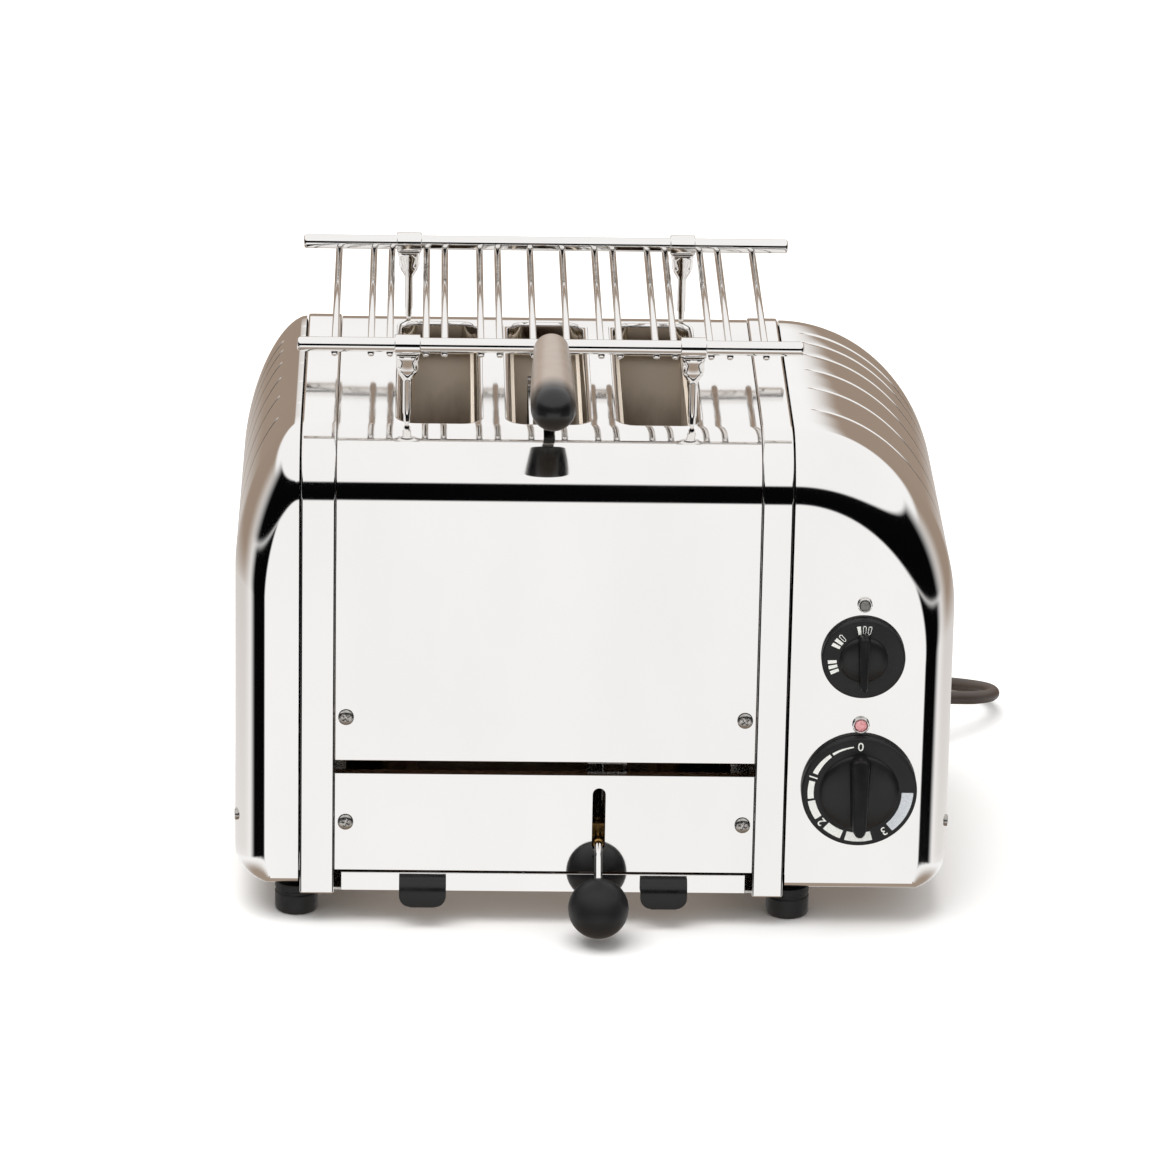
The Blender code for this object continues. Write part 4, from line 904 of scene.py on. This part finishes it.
def make_lever():
    ball_low, ball_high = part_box("lever_ball")
    rod_low, rod_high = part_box("lever_rod")
    centre = (ball_low + ball_high) / 2
    radius = (ball_high.z - ball_low.z) / 2
    rod_radius = (rod_high.x - rod_low.x) / 2
    level = rod_high.z - rod_radius
    elbow = Vector((centre.x, FRONT_Y - 3 * MM, level))
    slope = (centre - elbow).normalized()
    route = [Vector((centre.x, rod_high.y, level)), elbow + Vector((0, 6 * MM, 0)),
             elbow + Vector((0, 3 * MM, 0)), elbow + slope * 3 * MM, elbow + slope * 6 * MM,
             centre - slope * (radius - 0.5 * MM)]
    bm = bmesh.new()
    add_tube(bm, smooth_route(route, 8), rod_radius * 0.98, 24)
    shown("lever_stem", mesh_of("lever_stem", bm), "chromium_plate", "lift", ["lever_rod"])
    bm = bmesh.new()
    collar = Vector((centre.x, FRONT_Y + 2.5 * MM, level))
    profile = [(rod_radius, 0), (rod_radius + 0.6 * MM, 0), (rod_radius + 0.6 * MM, 4 * MM),
               (rod_radius + 0.1 * MM, 4.6 * MM), (rod_radius, 4.6 * MM)]
    add_lathe(bm, profile, collar, (0, -1, 0), 28, closed=True)
    shown("lever_collar", mesh_of("lever_collar", bm), "turned_brass", "lift")
    bm = bmesh.new()
    profile = []
    neck = rod_radius + 0.5 * MM
    neck_depth = math.sqrt(radius ** 2 - neck ** 2)
    for i in range(33):
        angle = math.pi * i / 32
        around = radius * math.sin(angle)
        along = -radius * math.cos(angle)
        if around < neck and along > 0:
            profile += [(neck, neck_depth), (neck * 0.8, neck_depth - 0.6 * MM),
                        (0, neck_depth - 0.6 * MM)]
            break
        seam = 0.08 * MM if i == 16 else 0.0
        profile.append((around + seam, along))
    add_lathe(bm, profile, centre, -slope, 48)
    shown("lever_knob", mesh_of("lever_knob", bm), "sparked_abs", "lift", ["lever_ball"])


# Dials

def on_dial(centre, y, angle, radius):
    """A place on a dial's face, by its angle counterclockwise from the top and its radius."""
    return Vector((centre.x - math.sin(angle) * radius, y, centre.z + math.cos(angle) * radius))


def add_mark(bm, centre, y, start, end, inner, outer, thick=0.12 * MM):
    """A printed stroke on a dial: part of a ring, from one angle to another, in degrees."""
    steps = max(1, int(abs(end - start) / 4))
    rings = []
    for i in range(steps + 1):
        t = i / steps
        angle = math.radians(start + (end - start) * t)
        low = inner[0] + (inner[1] - inner[0]) * t
        high = outer[0] + (outer[1] - outer[0]) * t
        rings.append([on_dial(centre, y, angle, low), on_dial(centre, y, angle, high),
                      on_dial(centre, y - thick, angle, high), on_dial(centre, y - thick, angle, low)])
    add_rings(bm, rings)


def add_figure(bm, text, centre, y, angle, radius, size):
    """A printed figure on a dial, upright when that angle is turned to the top."""
    curve = bpy.data.curves.new("figure", "FONT")
    curve.body = text
    curve.size = size
    curve.align_x = "CENTER"
    curve.align_y = "CENTER"
    curve.extrude = 0.06 * MM
    curve.offset = 0.02 * MM
    carrier = bpy.data.objects.new("figure", curve)
    bpy.context.scene.collection.objects.link(carrier)
    bpy.context.view_layer.update()
    graph = bpy.context.evaluated_depsgraph_get()
    mesh = bpy.data.meshes.new_from_object(carrier.evaluated_get(graph), depsgraph=graph)
    place = (Matrix.Translation(on_dial(centre, y, math.radians(angle), radius))
             @ Matrix.Rotation(-math.radians(angle), 4, "Y") @ Matrix.Rotation(math.pi / 2, 4, "X"))
    mesh.transform(place)
    bm.from_mesh(mesh)
    bpy.data.objects.remove(carrier)


def make_knob(name, node, body, hub_radius, bar):
    """A dial: a skirt with a rolled edge, a domed hub and a bar with a pointed lower end."""
    low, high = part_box(node)
    radius = (high.x - low.x) / 2
    centre = (low + high) / 2
    centre.y = high.y
    bar_width, bar_length, bar_depth, skirt = bar
    edge = 1.1 * MM
    profile = [(0, 0), (radius - 0.4 * MM, 0), (radius, 0.4 * MM), (radius, skirt - edge)]
    profile += [(radius - edge + edge * math.cos(a), skirt - edge + edge * math.sin(a))
                for a in quarter(6)]
    profile += [(hub_radius - 1 * MM, skirt), (0, skirt)]
    bm = bmesh.new()
    add_lathe(bm, profile, centre, (0, -1, 0), 72)
    shown(name + "_skirt", mesh_of(name + "_skirt", bm, 40), "sparked_abs", body, [node])
    dome = 2.2 * MM
    profile = [(0, skirt * 0.6), (hub_radius, skirt * 0.6), (hub_radius, skirt + 0.3 * MM)]
    profile += [(hub_radius * math.cos(a), skirt + 0.3 * MM + dome * math.sin(a)) for a in quarter(8)]
    bm = bmesh.new()
    add_lathe(bm, profile, centre, (0, -1, 0), 72)
    rings = []
    for rise, wide, long in ((-0.2, 1.14, 1.0), (0.14, 1.1, 0.995), (0.5, 1.0, 0.985), (0.84, 0.9, 0.97),
                             (0.95, 0.82, 0.95), (1.0, 0.64, 0.9)):
        ring = []
        for a, b in rounded_rectangle(bar_width * wide, bar_length * long, bar_width * wide * 0.46, 8):
            taper = 1 - 0.3 * smoothstep(-b, 0.0, bar_length / 2)
            lower = 1 - 0.4 * smoothstep(b, 0.0, bar_length * 0.3)
            ring.append((centre.x + a * taper, centre.y - skirt - rise * bar_depth * lower, centre.z + b))
        rings.append(ring)
    add_rings(bm, rings)
    shown(name + "_grip", mesh_of(name + "_grip", bm, 40), "moulded_phenolic", body)
    return centre, centre.y - skirt


# The bars of the timer's scale: angles in degrees, then the inner and the outer radius at each end
TIMER_BARS = [(start, end, [r * MM for r in inner], [r * MM for r in outer])
              for start, end, inner, outer in (
                  (8, 34, (20.9, 20.6), (21.4, 21.7)), (37, 66, (20.4, 19.9), (21.9, 22.2)),
                  (76, 98, (19.7, 19.7), (22.3, 22.3)), (101, 124, (19.3, 19.3), (22.5, 22.5)),
                  (138, 160, (18.9, 18.9), (22.7, 22.7)), (165, 196, (18.7, 18.7), (22.8, 22.8)),
                  (220, 270, (18.7, 18.3), (22.9, 23.3)))]


def make_dials():
    centre, face = make_knob("timer_knob", "timer_dial", "timer_control", 17.2 * MM,
                             (8.7 * MM, 35 * MM, 12 * MM, 4 * MM))
    bm = bmesh.new()
    for start, end, inner, outer in TIMER_BARS[:-1]:
        add_mark(bm, centre, face, start, end, inner, outer)
    for text, angle in (("0", 0), ("1", 71), ("2", 131), ("3", 212)):
        add_figure(bm, text, centre, face - 0.05 * MM, angle, 20.9 * MM, 5.4 * MM)
    shown("timer_scale", mesh_of("timer_scale", bm), "white_print", "timer_control")
    bm = bmesh.new()
    add_mark(bm, centre, face, *TIMER_BARS[-1])
    shown("timer_scale_end", mesh_of("timer_scale_end", bm), "grey_print", "timer_control")
    centre, face = make_knob("selector_knob", "selector_dial", "selector_control", 10.3 * MM,
                             (5 * MM, 24 * MM, 10 * MM, 3.4 * MM))
    bm = bmesh.new()
    low, high, half, line, pitch = 11.6 * MM, 15.4 * MM, 3.1, 1.2, 9.5
    for filled, angle in ((1, 0), (2, 53), (3, 104)):
        for bar in range(3):
            start, end = angle + pitch - pitch * bar - half, angle + pitch - pitch * bar + half
            strokes = [(start, end, low, high)]
            if bar >= filled:
                strokes = [(start, start + line, low, high), (end - line, end, low, high),
                           (start, end, high - 0.4 * MM, high), (start, end, low, low + 0.4 * MM)]
            for first, last, inner, outer in strokes:
                add_mark(bm, centre, face, first, last, (inner, inner), (outer, outer))
    shown("selector_scale", mesh_of("selector_scale", bm), "white_print", "selector_control")


def make_lamp_and_button():
    for label, finish, body, slot, dome in (
            ("neon", "neon_lens", "casing", "red_lens", 1.0),
            ("button", "button_grey", "button", "plain_steel", 0.45)):
        node = "neon_lens" if label == "neon" else "defrost_button"
        low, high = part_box(node)
        radius = (high.x - low.x) / 2
        centre = (low + high) / 2
        centre.y = high.y
        tall = high.y - low.y
        cap = dome * MM
        profile = [(0, 0), (radius, 0), (radius, tall - cap)]
        profile += [(radius * math.cos(a), tall - cap + cap * math.sin(a)) for a in quarter(8)]
        bm = bmesh.new()
        add_lathe(bm, profile, centre, (0, -1, 0), 40)
        shown(label + "_cap", mesh_of(label + "_cap", bm), finish, body, [node])
        low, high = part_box(label + "_bezel")
        outer = (high.x - low.x) / 2
        wall = outer - radius - 0.25 * MM
        middle = (low + high) / 2
        profile = []
        for i in range(20):
            angle = 2 * math.pi * i / 20
            profile.append((outer - wall / 2 + wall / 2 * math.cos(angle),
                            0.6 * MM + 0.58 * MM * math.sin(angle)))
        bm = bmesh.new()
        add_lathe(bm, profile, (middle.x, high.y, middle.z), (0, -1, 0), 48, closed=True)
        shown(label + "_ring", mesh_of(label + "_ring", bm), "chromium_plate", "casing",
              [label + "_bezel"])


# Rack and cage

def make_rack():
    low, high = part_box("rack_frame")
    rail_radius = 3.15 * MM
    rail_z = high.z - rail_radius
    rail_ys = (low.y + rail_radius, high.y - rail_radius)
    bm = bmesh.new()
    tip = 1.5 * MM
    for y in rail_ys:
        profile = [(rail_radius - tip + tip * math.sin(a), tip - tip * math.cos(a))
                   for a in [0, *quarter(5)]]
        length = high.x - low.x
        profile += [(r, length - h) for r, h in profile[::-1]]
        profile = [(0, 0)] + profile + [(0, length)]
        add_lathe(bm, profile, (low.x, y, rail_z), (1, 0, 0), 32)
    rod_radius = 1.5 * MM
    rod_z = low.z + rod_radius
    middle = (low.x + high.x) / 2
    offsets = [7.2 * MM]
    for pitch in (14.4, 8, 15.4, 8, 15.4, 8, 15.4):
        offsets.append(offsets[-1] + pitch * MM)
    for offset in offsets:
        for sign in (-1, 1):
            x = middle + sign * offset
            reach = (rail_ys[1] - rail_ys[0]) / 2 + 1.2 * MM
            profile = [(0, -reach), (rod_radius * 0.7, -reach), (rod_radius, -reach + 0.5 * MM),
                       (rod_radius, reach - 0.5 * MM), (rod_radius * 0.7, reach), (0, reach)]
            add_lathe(bm, profile, (x, MIDDLE_Y, rod_z), (0, 1, 0), 16)
    shown("rack", mesh_of("rack", bm, 50), "chromium_plate", "warming_rack", ["rack_frame"])
    for y_label, y in (("front", rail_ys[0]), ("rear", rail_ys[1])):
        for x_label in ("left", "right"):
            node = f"rack_leg_{y_label}_{x_label}"
            low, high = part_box(node)
            x = (low.x + high.x) / 2
            width = high.x - low.x
            bm = bmesh.new()
            inner, outer = rail_radius + 0.05 * MM, rail_radius + 1.3 * MM
            band = [(inner, -width / 2), (outer - 0.3 * MM, -width / 2), (outer, -width / 2 + 0.3 * MM),
                    (outer, width / 2 - 0.3 * MM), (outer - 0.3 * MM, width / 2), (inner, width / 2)]
            add_lathe(bm, band, (x, y, rail_z), (1, 0, 0), 36, closed=True)
            top = rail_z - outer + 0.4 * MM - low.z
            profile = [(0, 0), (0.9 * MM, 0), (1.5 * MM, 1.5 * MM), (1.5 * MM, 4 * MM),
                       (1.9 * MM, 5 * MM), (1.9 * MM, top - 12 * MM), (2.6 * MM, top - 10.5 * MM),
                       (4.2 * MM, top - 8 * MM),
                       (4.7 * MM, top - 6 * MM), (4.7 * MM, top - 2.6 * MM), (5.0 * MM, top - 2.2 * MM),
                       (5.0 * MM, top), (0, top)]
            add_lathe(bm, profile, (x, y, low.z), (0, 0, 1), 32)
            shown(node + "_post", mesh_of(node, bm, 40), "chromium_plate", "warming_rack",
                  [node])


def make_cage_handle():
    refined("handle_stem", "cage_stem", "chromium_plate", "sandwich_cage", 0.4 * MM)
    low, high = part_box("cage_grip")
    back, front = 7.5 * MM, 9.5 * MM
    slope = math.atan2(4.5, 66)
    start = Vector(((low.x + high.x) / 2, high.y, high.z - back - 0.05 * MM))
    axis = Vector((0, -math.cos(slope), -math.sin(slope)))
    length = (high.y - low.y - front) / math.cos(slope)
    edge = 3 * MM
    profile = [(0, 0.1 * MM), (back - edge, 0.1 * MM)]
    profile += [(back - edge + edge * math.sin(a), 0.1 * MM + edge - edge * math.cos(a))
                for a in quarter(6)]
    for i in range(1, 13):
        t = i / 13
        profile.append((back + (front - back) * math.sin(math.pi / 2 * t), edge + (length - edge) * t))
    profile += [(front * math.cos(a) * 0.998, length + front * 0.995 * math.sin(a))
                for a in [0, *quarter(16)]]
    bm = bmesh.new()
    add_lathe(bm, profile, start, axis, 48)
    shown("handle_grip", mesh_of("handle_grip", bm, 50), "black_grip_painted_highlight", "sandwich_cage",
          ["cage_grip"])


# Mains lead

def coil_route():
    """Three turns inwards on the floor and three outwards on top, each stepping over in one place."""
    turns = [(r, COIL_LEVELS[0]) for r in COIL_RADII] + [(r, COIL_LEVELS[1]) for r in COIL_RADII[::-1]]
    points = []
    per_turn = 36
    for number, (radius, level) in enumerate(turns):
        following = turns[min(number + 1, len(turns) - 1)]
        for k in range(per_turn):
            share = smoothstep(k / per_turn, 0.70, 0.88)
            r = radius + (following[0] - radius) * share
            z = level + (following[1] - level) * share
            angle = math.pi / 2 + 2 * math.pi * k / per_turn
            points.append((COIL_CENTRE[0] + r * math.cos(angle), COIL_CENTRE[1] + r * math.sin(angle), z))
    points.append((COIL_CENTRE[0], COIL_CENTRE[1] + COIL_RADII[0], COIL_LEVELS[1]))
    return points


def make_lead():
    lead = smooth_route(CORD_LEAD_ROUTE[:-1] + ((80.0, COIL_CENTRE[1] + COIL_RADII[0], 3.5),), 4)
    tail = smooth_route(((44.0, COIL_CENTRE[1] + COIL_RADII[0], 9.7),) + CORD_TAIL_ROUTE[1:], 4)
    route = [here(*p) for p in lead + [Vector(p) for p in coil_route()] + tail]
    radius = settings().cord_diameter / 2
    curve = bpy.data.curves.new("mains_lead", "CURVE")
    curve.dimensions = "3D"
    curve.bevel_depth = radius
    curve.bevel_resolution = 5
    curve.use_fill_caps = True
    spline = curve.splines.new("POLY")
    spline.points.add(len(route) - 1)
    for point, place in zip(spline.points, route):
        point.co = (*place, 1.0)
    spline.use_smooth = True
    cord = shown("mains_lead", curve, "sheath_rubber", "casing",
                 ["cord_lead", "cord_coil", "cord_tail"])
    make_gland()
    plug = make_plug()
    tie = make_tie()


def make_gland():
    """A moulded sleeve that bends with the lead and is ribbed along its length."""
    start = here(*GLAND)
    end = here(*CORD_LEAD_ROUTE[0])
    toward = (here(*CORD_LEAD_ROUTE[1]) - end).normalized()
    run = (end - start).length
    points, radii = [], []
    steps = 40
    for i in range(steps + 1):
        t = i / steps
        points.append(start * (1 - t) ** 3 + 3 * (start + Vector((0, run / 3, 0))) * t * (1 - t) ** 2
                      + 3 * (end - toward * run / 3) * t ** 2 * (1 - t) + end * t ** 3)
        rib = 0.45 * MM if i > 8 and (i // 3) % 2 else 0.0
        radii.append((6.8 * MM if 1 <= i <= 5 else 5.3 * MM - 1.7 * MM * t - rib))
    bm = bmesh.new()
    add_tube(bm, points[1:], radii[1:], 24)
    shown("lead_sleeve", mesh_of("lead_sleeve", bm, 30), "foot_rubber", "casing",
          ["strain_relief"])


def make_tie():
    """A strap of black plastic round the coil, on the side towards the casing."""
    centre = here(COIL_CENTRE[0], COIL_CENTRE[1] - COIL_RADII[1], 0)
    bm = bmesh.new()
    half_width = 2.2 * MM
    rings = []
    shape_out = rounded_rectangle(19.2 * MM, 12.5 * MM, 3.3 * MM, 6)
    shape_in = rounded_rectangle(18.4 * MM, 11.7 * MM, 3.0 * MM, 6)
    z = 6.6 * MM
    for x, shape in ((-half_width, shape_in), (-half_width, shape_out), (half_width, shape_out),
                     (half_width, shape_in)):
        rings.append([(centre.x + x, centre.y + a, z + b) for a, b in shape])
    add_rings(bm, rings, closed=True)
    return shown("lead_tie", mesh_of("lead_tie", bm), "sparked_abs", "casing")


def make_plug():
    """A three-pin plug on its back: a two-part body with a seam, a cord sleeve and brass pins."""
    low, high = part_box("mains_plug")
    right_x = here(CORD_TAIL_ROUTE[-1][0], 0, 0).x
    width, depth, height = 50 * MM, high.y - low.y, 19 * MM
    centre = Vector((low.x + width / 2, (low.y + high.y) / 2, low.z))
    rings = []
    for z, inset in ((0, 3.2), (0.6, 1.8), (2, 0.6), (4, 0.0), (8.6, 0.0), (9.0, 0.5), (9.4, 0.5),
                     (9.8, 0.0), (15, 0.2), (17, 0.9), (18.3, 2.0), (19, 3.6)):
        outline = rounded_rectangle(width - 2 * inset * MM, depth - 2 * inset * MM,
                                    8 * MM - inset * 0.5 * MM, 8)
        rings.append([(centre.x + a, centre.y + b, low.z + z * MM) for a, b in outline])
    bm = bmesh.new()
    add_rings(bm, rings)
    shell = shown("plug_shell", mesh_of("plug_shell", bm, 40), "moulded_phenolic", "casing",
                  ["mains_plug"])
    sleeve_y, sleeve_z = here(*CORD_TAIL_ROUTE[-1]).y, CORD_TAIL_ROUTE[-1][2] * MM
    start = centre.x + width / 2 - 1 * MM
    bm = bmesh.new()
    profile = [(5.4 * MM, 0), (5.4 * MM, 1.5 * MM)]
    for i in range(4):
        at = (2.2 + 2 * i) * MM
        profile += [((4.9 - 0.3 * i) * MM, at), ((4.3 - 0.2 * i) * MM, at + 0.3 * MM),
                    ((4.3 - 0.2 * i) * MM, at + 1.0 * MM), ((4.8 - 0.3 * i) * MM, at + 1.3 * MM)]
    length = right_x - start - 0.2 * MM
    profile = [(0, 0)] + profile + [(3.5 * MM, length), (0, length)]
    add_lathe(bm, profile, (start, sleeve_y, sleeve_z), (1, 0, 0), 28)
    sleeve = shown("plug_sleeve", mesh_of("plug_sleeve", bm, 30), "foot_rubber", "casing")
    bm = bmesh.new()
    for dx, dy, size_x, size_y, tall in ((-11, 0, 4, 8, 22.7), (11.2, 11.1, 6.4, 4, 17.7),
                                         (11.2, -11.1, 6.4, 4, 17.7)):
        rings = []
        for z, inset in ((-1, 0), (tall - 1.2, 0), (tall - 0.4, 0.35), (tall, 0.9)):
            outline = rounded_rectangle((size_x - 2 * inset) * MM, (size_y - 2 * inset) * MM, 0.6 * MM, 3)
            rings.append([(centre.x + dx * MM + a, centre.y + dy * MM + b, low.z + height + z * MM)
                          for a, b in outline])
        add_rings(bm, rings)
    pins = shown("plug_pins", mesh_of("plug_pins", bm, 40), "turned_brass", "casing")
    return [shell, sleeve, pins]


# Stage

# The room by height (sine of the angle above level) and by turn (radians either side of straight ahead).
# Each area is where all its edges have risen, each from its first value to its second.
ROOM_FLOOR = "A39486"
ROOM_AREAS = (
    ("FFFFFF", ((("height", -0.72, -0.45),),)),
    ("A08F80", ((("height", -0.48, -0.20), ("height", 0.31, 0.21),
                 ("turn", math.radians(84), math.radians(128))),)),
    ("060607", ((("height", -0.169, -0.109), ("height", 0.43, 0.37),
                 ("turn", math.radians(112), math.radians(84))),
                (("height", -0.46, -0.40), ("height", -0.115, -0.175),
                 ("turn", math.radians(34) - 0.07, math.radians(34) + 0.07),
                 ("turn", math.radians(92) + 0.2, math.radians(92) - 0.2)))),
)


def make_room():
    """A white room for the lights, with the dark and taupe areas that polished steel shows."""
    world = bpy.data.worlds.new("studio")
    bpy.context.scene.world = world
    world.use_nodes = True
    tree = world.node_tree
    tree.nodes.clear()
    direction = add(tree, "ShaderNodeSeparateXYZ", links={
        "Vector": add(tree, "ShaderNodeTexCoord").outputs["Generated"]}).outputs
    ahead = add(tree, "ShaderNodeMath", {1: -1.0}, {0: direction["Y"]}, operation="MULTIPLY")
    turn = add(tree, "ShaderNodeMath", links={0: direction["X"], 1: ahead.outputs[0]},
               operation="ARCTAN2")
    turn = add(tree, "ShaderNodeMath", links={0: turn.outputs[0]}, operation="ABSOLUTE")
    sources = {"height": direction["Z"], "turn": turn.outputs[0]}
    room_color = add(tree, "ShaderNodeRGB").outputs[0]
    room_color.default_value = (*linear(ROOM_FLOOR), 1)
    for code, areas in ROOM_AREAS:
        cover = None
        for edges in areas:
            area = None
            for source, start, end in edges:
                edge = add(tree, "ShaderNodeMapRange", {"From Min": start, "From Max": end},
                           {"Value": sources[source]}, interpolation_type="SMOOTHSTEP").outputs["Result"]
                area = edge if area is None else add(tree, "ShaderNodeMath", links={0: area, 1: edge},
                                                     operation="MULTIPLY").outputs[0]
            cover = area if cover is None else add(tree, "ShaderNodeMath", links={0: cover, 1: area},
                                                   operation="MAXIMUM").outputs[0]
        room_color = add(tree, "ShaderNodeMix", {"B": (*linear(code), 1)},
                         {"Factor": cover, "A": room_color}, data_type="RGBA").outputs["Result"]
    strength = bpy.context.scene.toaster_stage.sky_strength
    room = add(tree, "ShaderNodeBackground", {"Strength": strength}, {"Color": room_color})
    white = add(tree, "ShaderNodeBackground", {"Color": (1, 1, 1, 1), "Strength": 1.0})
    seen = add(tree, "ShaderNodeLightPath").outputs["Is Camera Ray"]
    chosen = add(tree, "ShaderNodeMixShader", links={0: seen, 1: room.outputs[0], 2: white.outputs[0]})
    add(tree, "ShaderNodeOutputWorld", links={"Surface": chosen.outputs[0]})


def make_camera():
    stage = bpy.context.scene.toaster_stage
    yaw, pitch, roll = stage.camera_turn
    ahead = Vector((-math.sin(yaw) * math.cos(pitch), math.cos(yaw) * math.cos(pitch), -math.sin(pitch)))
    level = Vector((math.cos(yaw), math.sin(yaw), 0))
    up = level.cross(ahead)
    right = math.cos(roll) * level + math.sin(roll) * up
    above = -math.sin(roll) * level + math.cos(roll) * up
    camera = bpy.data.cameras.new("camera")
    camera.sensor_width = 36
    camera.lens = stage.camera_lens
    camera.clip_end = 50
    holder = bpy.data.objects.new("camera", camera)
    turn = Matrix((right, above, -ahead)).transposed().to_4x4()
    holder.matrix_world = Matrix.Translation(stage.camera_place) @ turn
    bpy.context.scene.collection.objects.link(holder)
    bpy.context.scene.camera = holder


def make_floor():
    half = bpy.context.scene.toaster_stage.floor_size / 2
    bm = bmesh.new()
    verts = [bm.verts.new((x * half, y * half, 0)) for x, y in ((-1, -1), (1, -1), (1, 1), (-1, 1))]
    bm.faces.new(verts)
    mesh = bpy.data.meshes.new("floor")
    bm.to_mesh(mesh)
    bm.free()
    mesh.materials.append(finish_of("pale_floor"))
    floor = bpy.data.objects.new("floor", mesh)
    bpy.context.scene.collection.objects.link(floor)
    floor.visible_glossy = False


def make_lights():
    light = bpy.data.lights.new("soft_light", "AREA")
    light.shape = "DISK"
    light.size = 2.4
    light.energy = bpy.context.scene.toaster_stage.key_power
    holder = bpy.data.objects.new("soft_light", light)
    holder.location = (-0.4, -0.3, 2.4)
    holder.rotation_euler = (-Vector((0.4, 0.3, -2.4))).to_track_quat("Z", "Y").to_euler()
    holder.visible_glossy = False
    bpy.context.scene.collection.objects.link(holder)


class BuildStage(bpy.types.Operator):
    """Makes the camera, the room, the floor and the soft light"""
    bl_idname = "toaster.stage"
    bl_label = "Stage"

    def execute(self, context):
        make_camera()
        make_room()
        make_floor()
        make_lights()
        return {"FINISHED"}


class BuildLead(bpy.types.Operator):
    """Makes the mains lead with its sleeve, coil, tie and plug"""
    bl_idname = "toaster.lead"
    bl_label = "Mains lead"

    def execute(self, context):
        make_lead()
        return {"FINISHED"}


class BuildShell(bpy.types.Operator):
    """Makes the shell over the slots and the lips of the slots"""
    bl_idname = "toaster.shell"
    bl_label = "Shell"

    def execute(self, context):
        make_shell()
        return {"FINISHED"}


class BuildTrims(bpy.types.Operator):
    """Makes the two raised bands between the shell and the end covers"""
    bl_idname = "toaster.trims"
    bl_label = "Trim bands"

    def execute(self, context):
        make_trims()
        return {"FINISHED"}


class BuildCovers(bpy.types.Operator):
    """Makes the two end covers with their pressed grooves"""
    bl_idname = "toaster.covers"
    bl_label = "End covers"

    def execute(self, context):
        make_covers()
        return {"FINISHED"}


class BuildFront(bpy.types.Operator):
    """Makes the lower panel, the crumb tray, its pulls and the panel screws"""
    bl_idname = "toaster.front"
    bl_label = "Front"

    def execute(self, context):
        make_front()
        make_tabs()
        make_screws()
        return {"FINISHED"}


class BuildFeet(bpy.types.Operator):
    """Makes the four rubber feet"""
    bl_idname = "toaster.feet"
    bl_label = "Feet"

    def execute(self, context):
        make_feet()
        return {"FINISHED"}


class BuildInside(bpy.types.Operator):
    """Gives the inner parts their finishes and winds the heating elements"""
    bl_idname = "toaster.inside"
    bl_label = "Inside"

    def execute(self, context):
        make_inside()
        return {"FINISHED"}


class BuildLever(bpy.types.Operator):
    """Makes the lever's stem, collar and ball"""
    bl_idname = "toaster.lever"
    bl_label = "Lever"

    def execute(self, context):
        make_lever()
        return {"FINISHED"}


class BuildControls(bpy.types.Operator):
    """Makes the dials with their scales, the neon and the button"""
    bl_idname = "toaster.controls"
    bl_label = "Controls"

    def execute(self, context):
        make_dials()
        make_lamp_and_button()
        return {"FINISHED"}


class BuildRack(bpy.types.Operator):
    """Makes the warming rack and its four legs"""
    bl_idname = "toaster.rack"
    bl_label = "Warming rack"

    def execute(self, context):
        make_rack()
        return {"FINISHED"}


class BuildHandle(bpy.types.Operator):
    """Makes the sandwich cage's stem and grip"""
    bl_idname = "toaster.handle"
    bl_label = "Cage handle"

    def execute(self, context):
        make_cage_handle()
        return {"FINISHED"}


STEPS = (BuildStage, BuildLead, BuildShell, BuildTrims, BuildCovers, BuildFront, BuildFeet, BuildInside,
         BuildLever, BuildControls, BuildRack, BuildHandle)


class ToasterPanel(bpy.types.Panel):
    """Lists the settings and the steps that build the toaster"""
    bl_idname = "VIEW3D_PT_toaster"
    bl_label = "Toaster"
    bl_space_type = "VIEW_3D"
    bl_region_type = "UI"
    bl_category = "Toaster"

    def draw(self, context):
        for group in (context.scene.toaster, context.scene.toaster_stage):
            for name in group.bl_rna.properties.keys():
                if name not in ("rna_type", "name"):
                    self.layout.prop(group, name)
        for step in STEPS:
            self.layout.operator(step.bl_idname)


CLASSES = (ToasterSettings, StageSettings, *STEPS, ToasterPanel)


def register():
    for cls in CLASSES:
        bpy.utils.register_class(cls)
    bpy.types.Scene.toaster = PointerProperty(type=ToasterSettings)
    bpy.types.Scene.toaster_stage = PointerProperty(type=StageSettings)


def unregister():
    del bpy.types.Scene.toaster_stage
    del bpy.types.Scene.toaster
    for cls in reversed(CLASSES):
        bpy.utils.unregister_class(cls)


def main():
    register()
    bpy.context.scene.view_settings.view_transform = "Standard"
    for step in STEPS:
        getattr(bpy.ops.toaster, step.bl_idname.split(".")[1])()


if __name__ == "__main__":
    main()
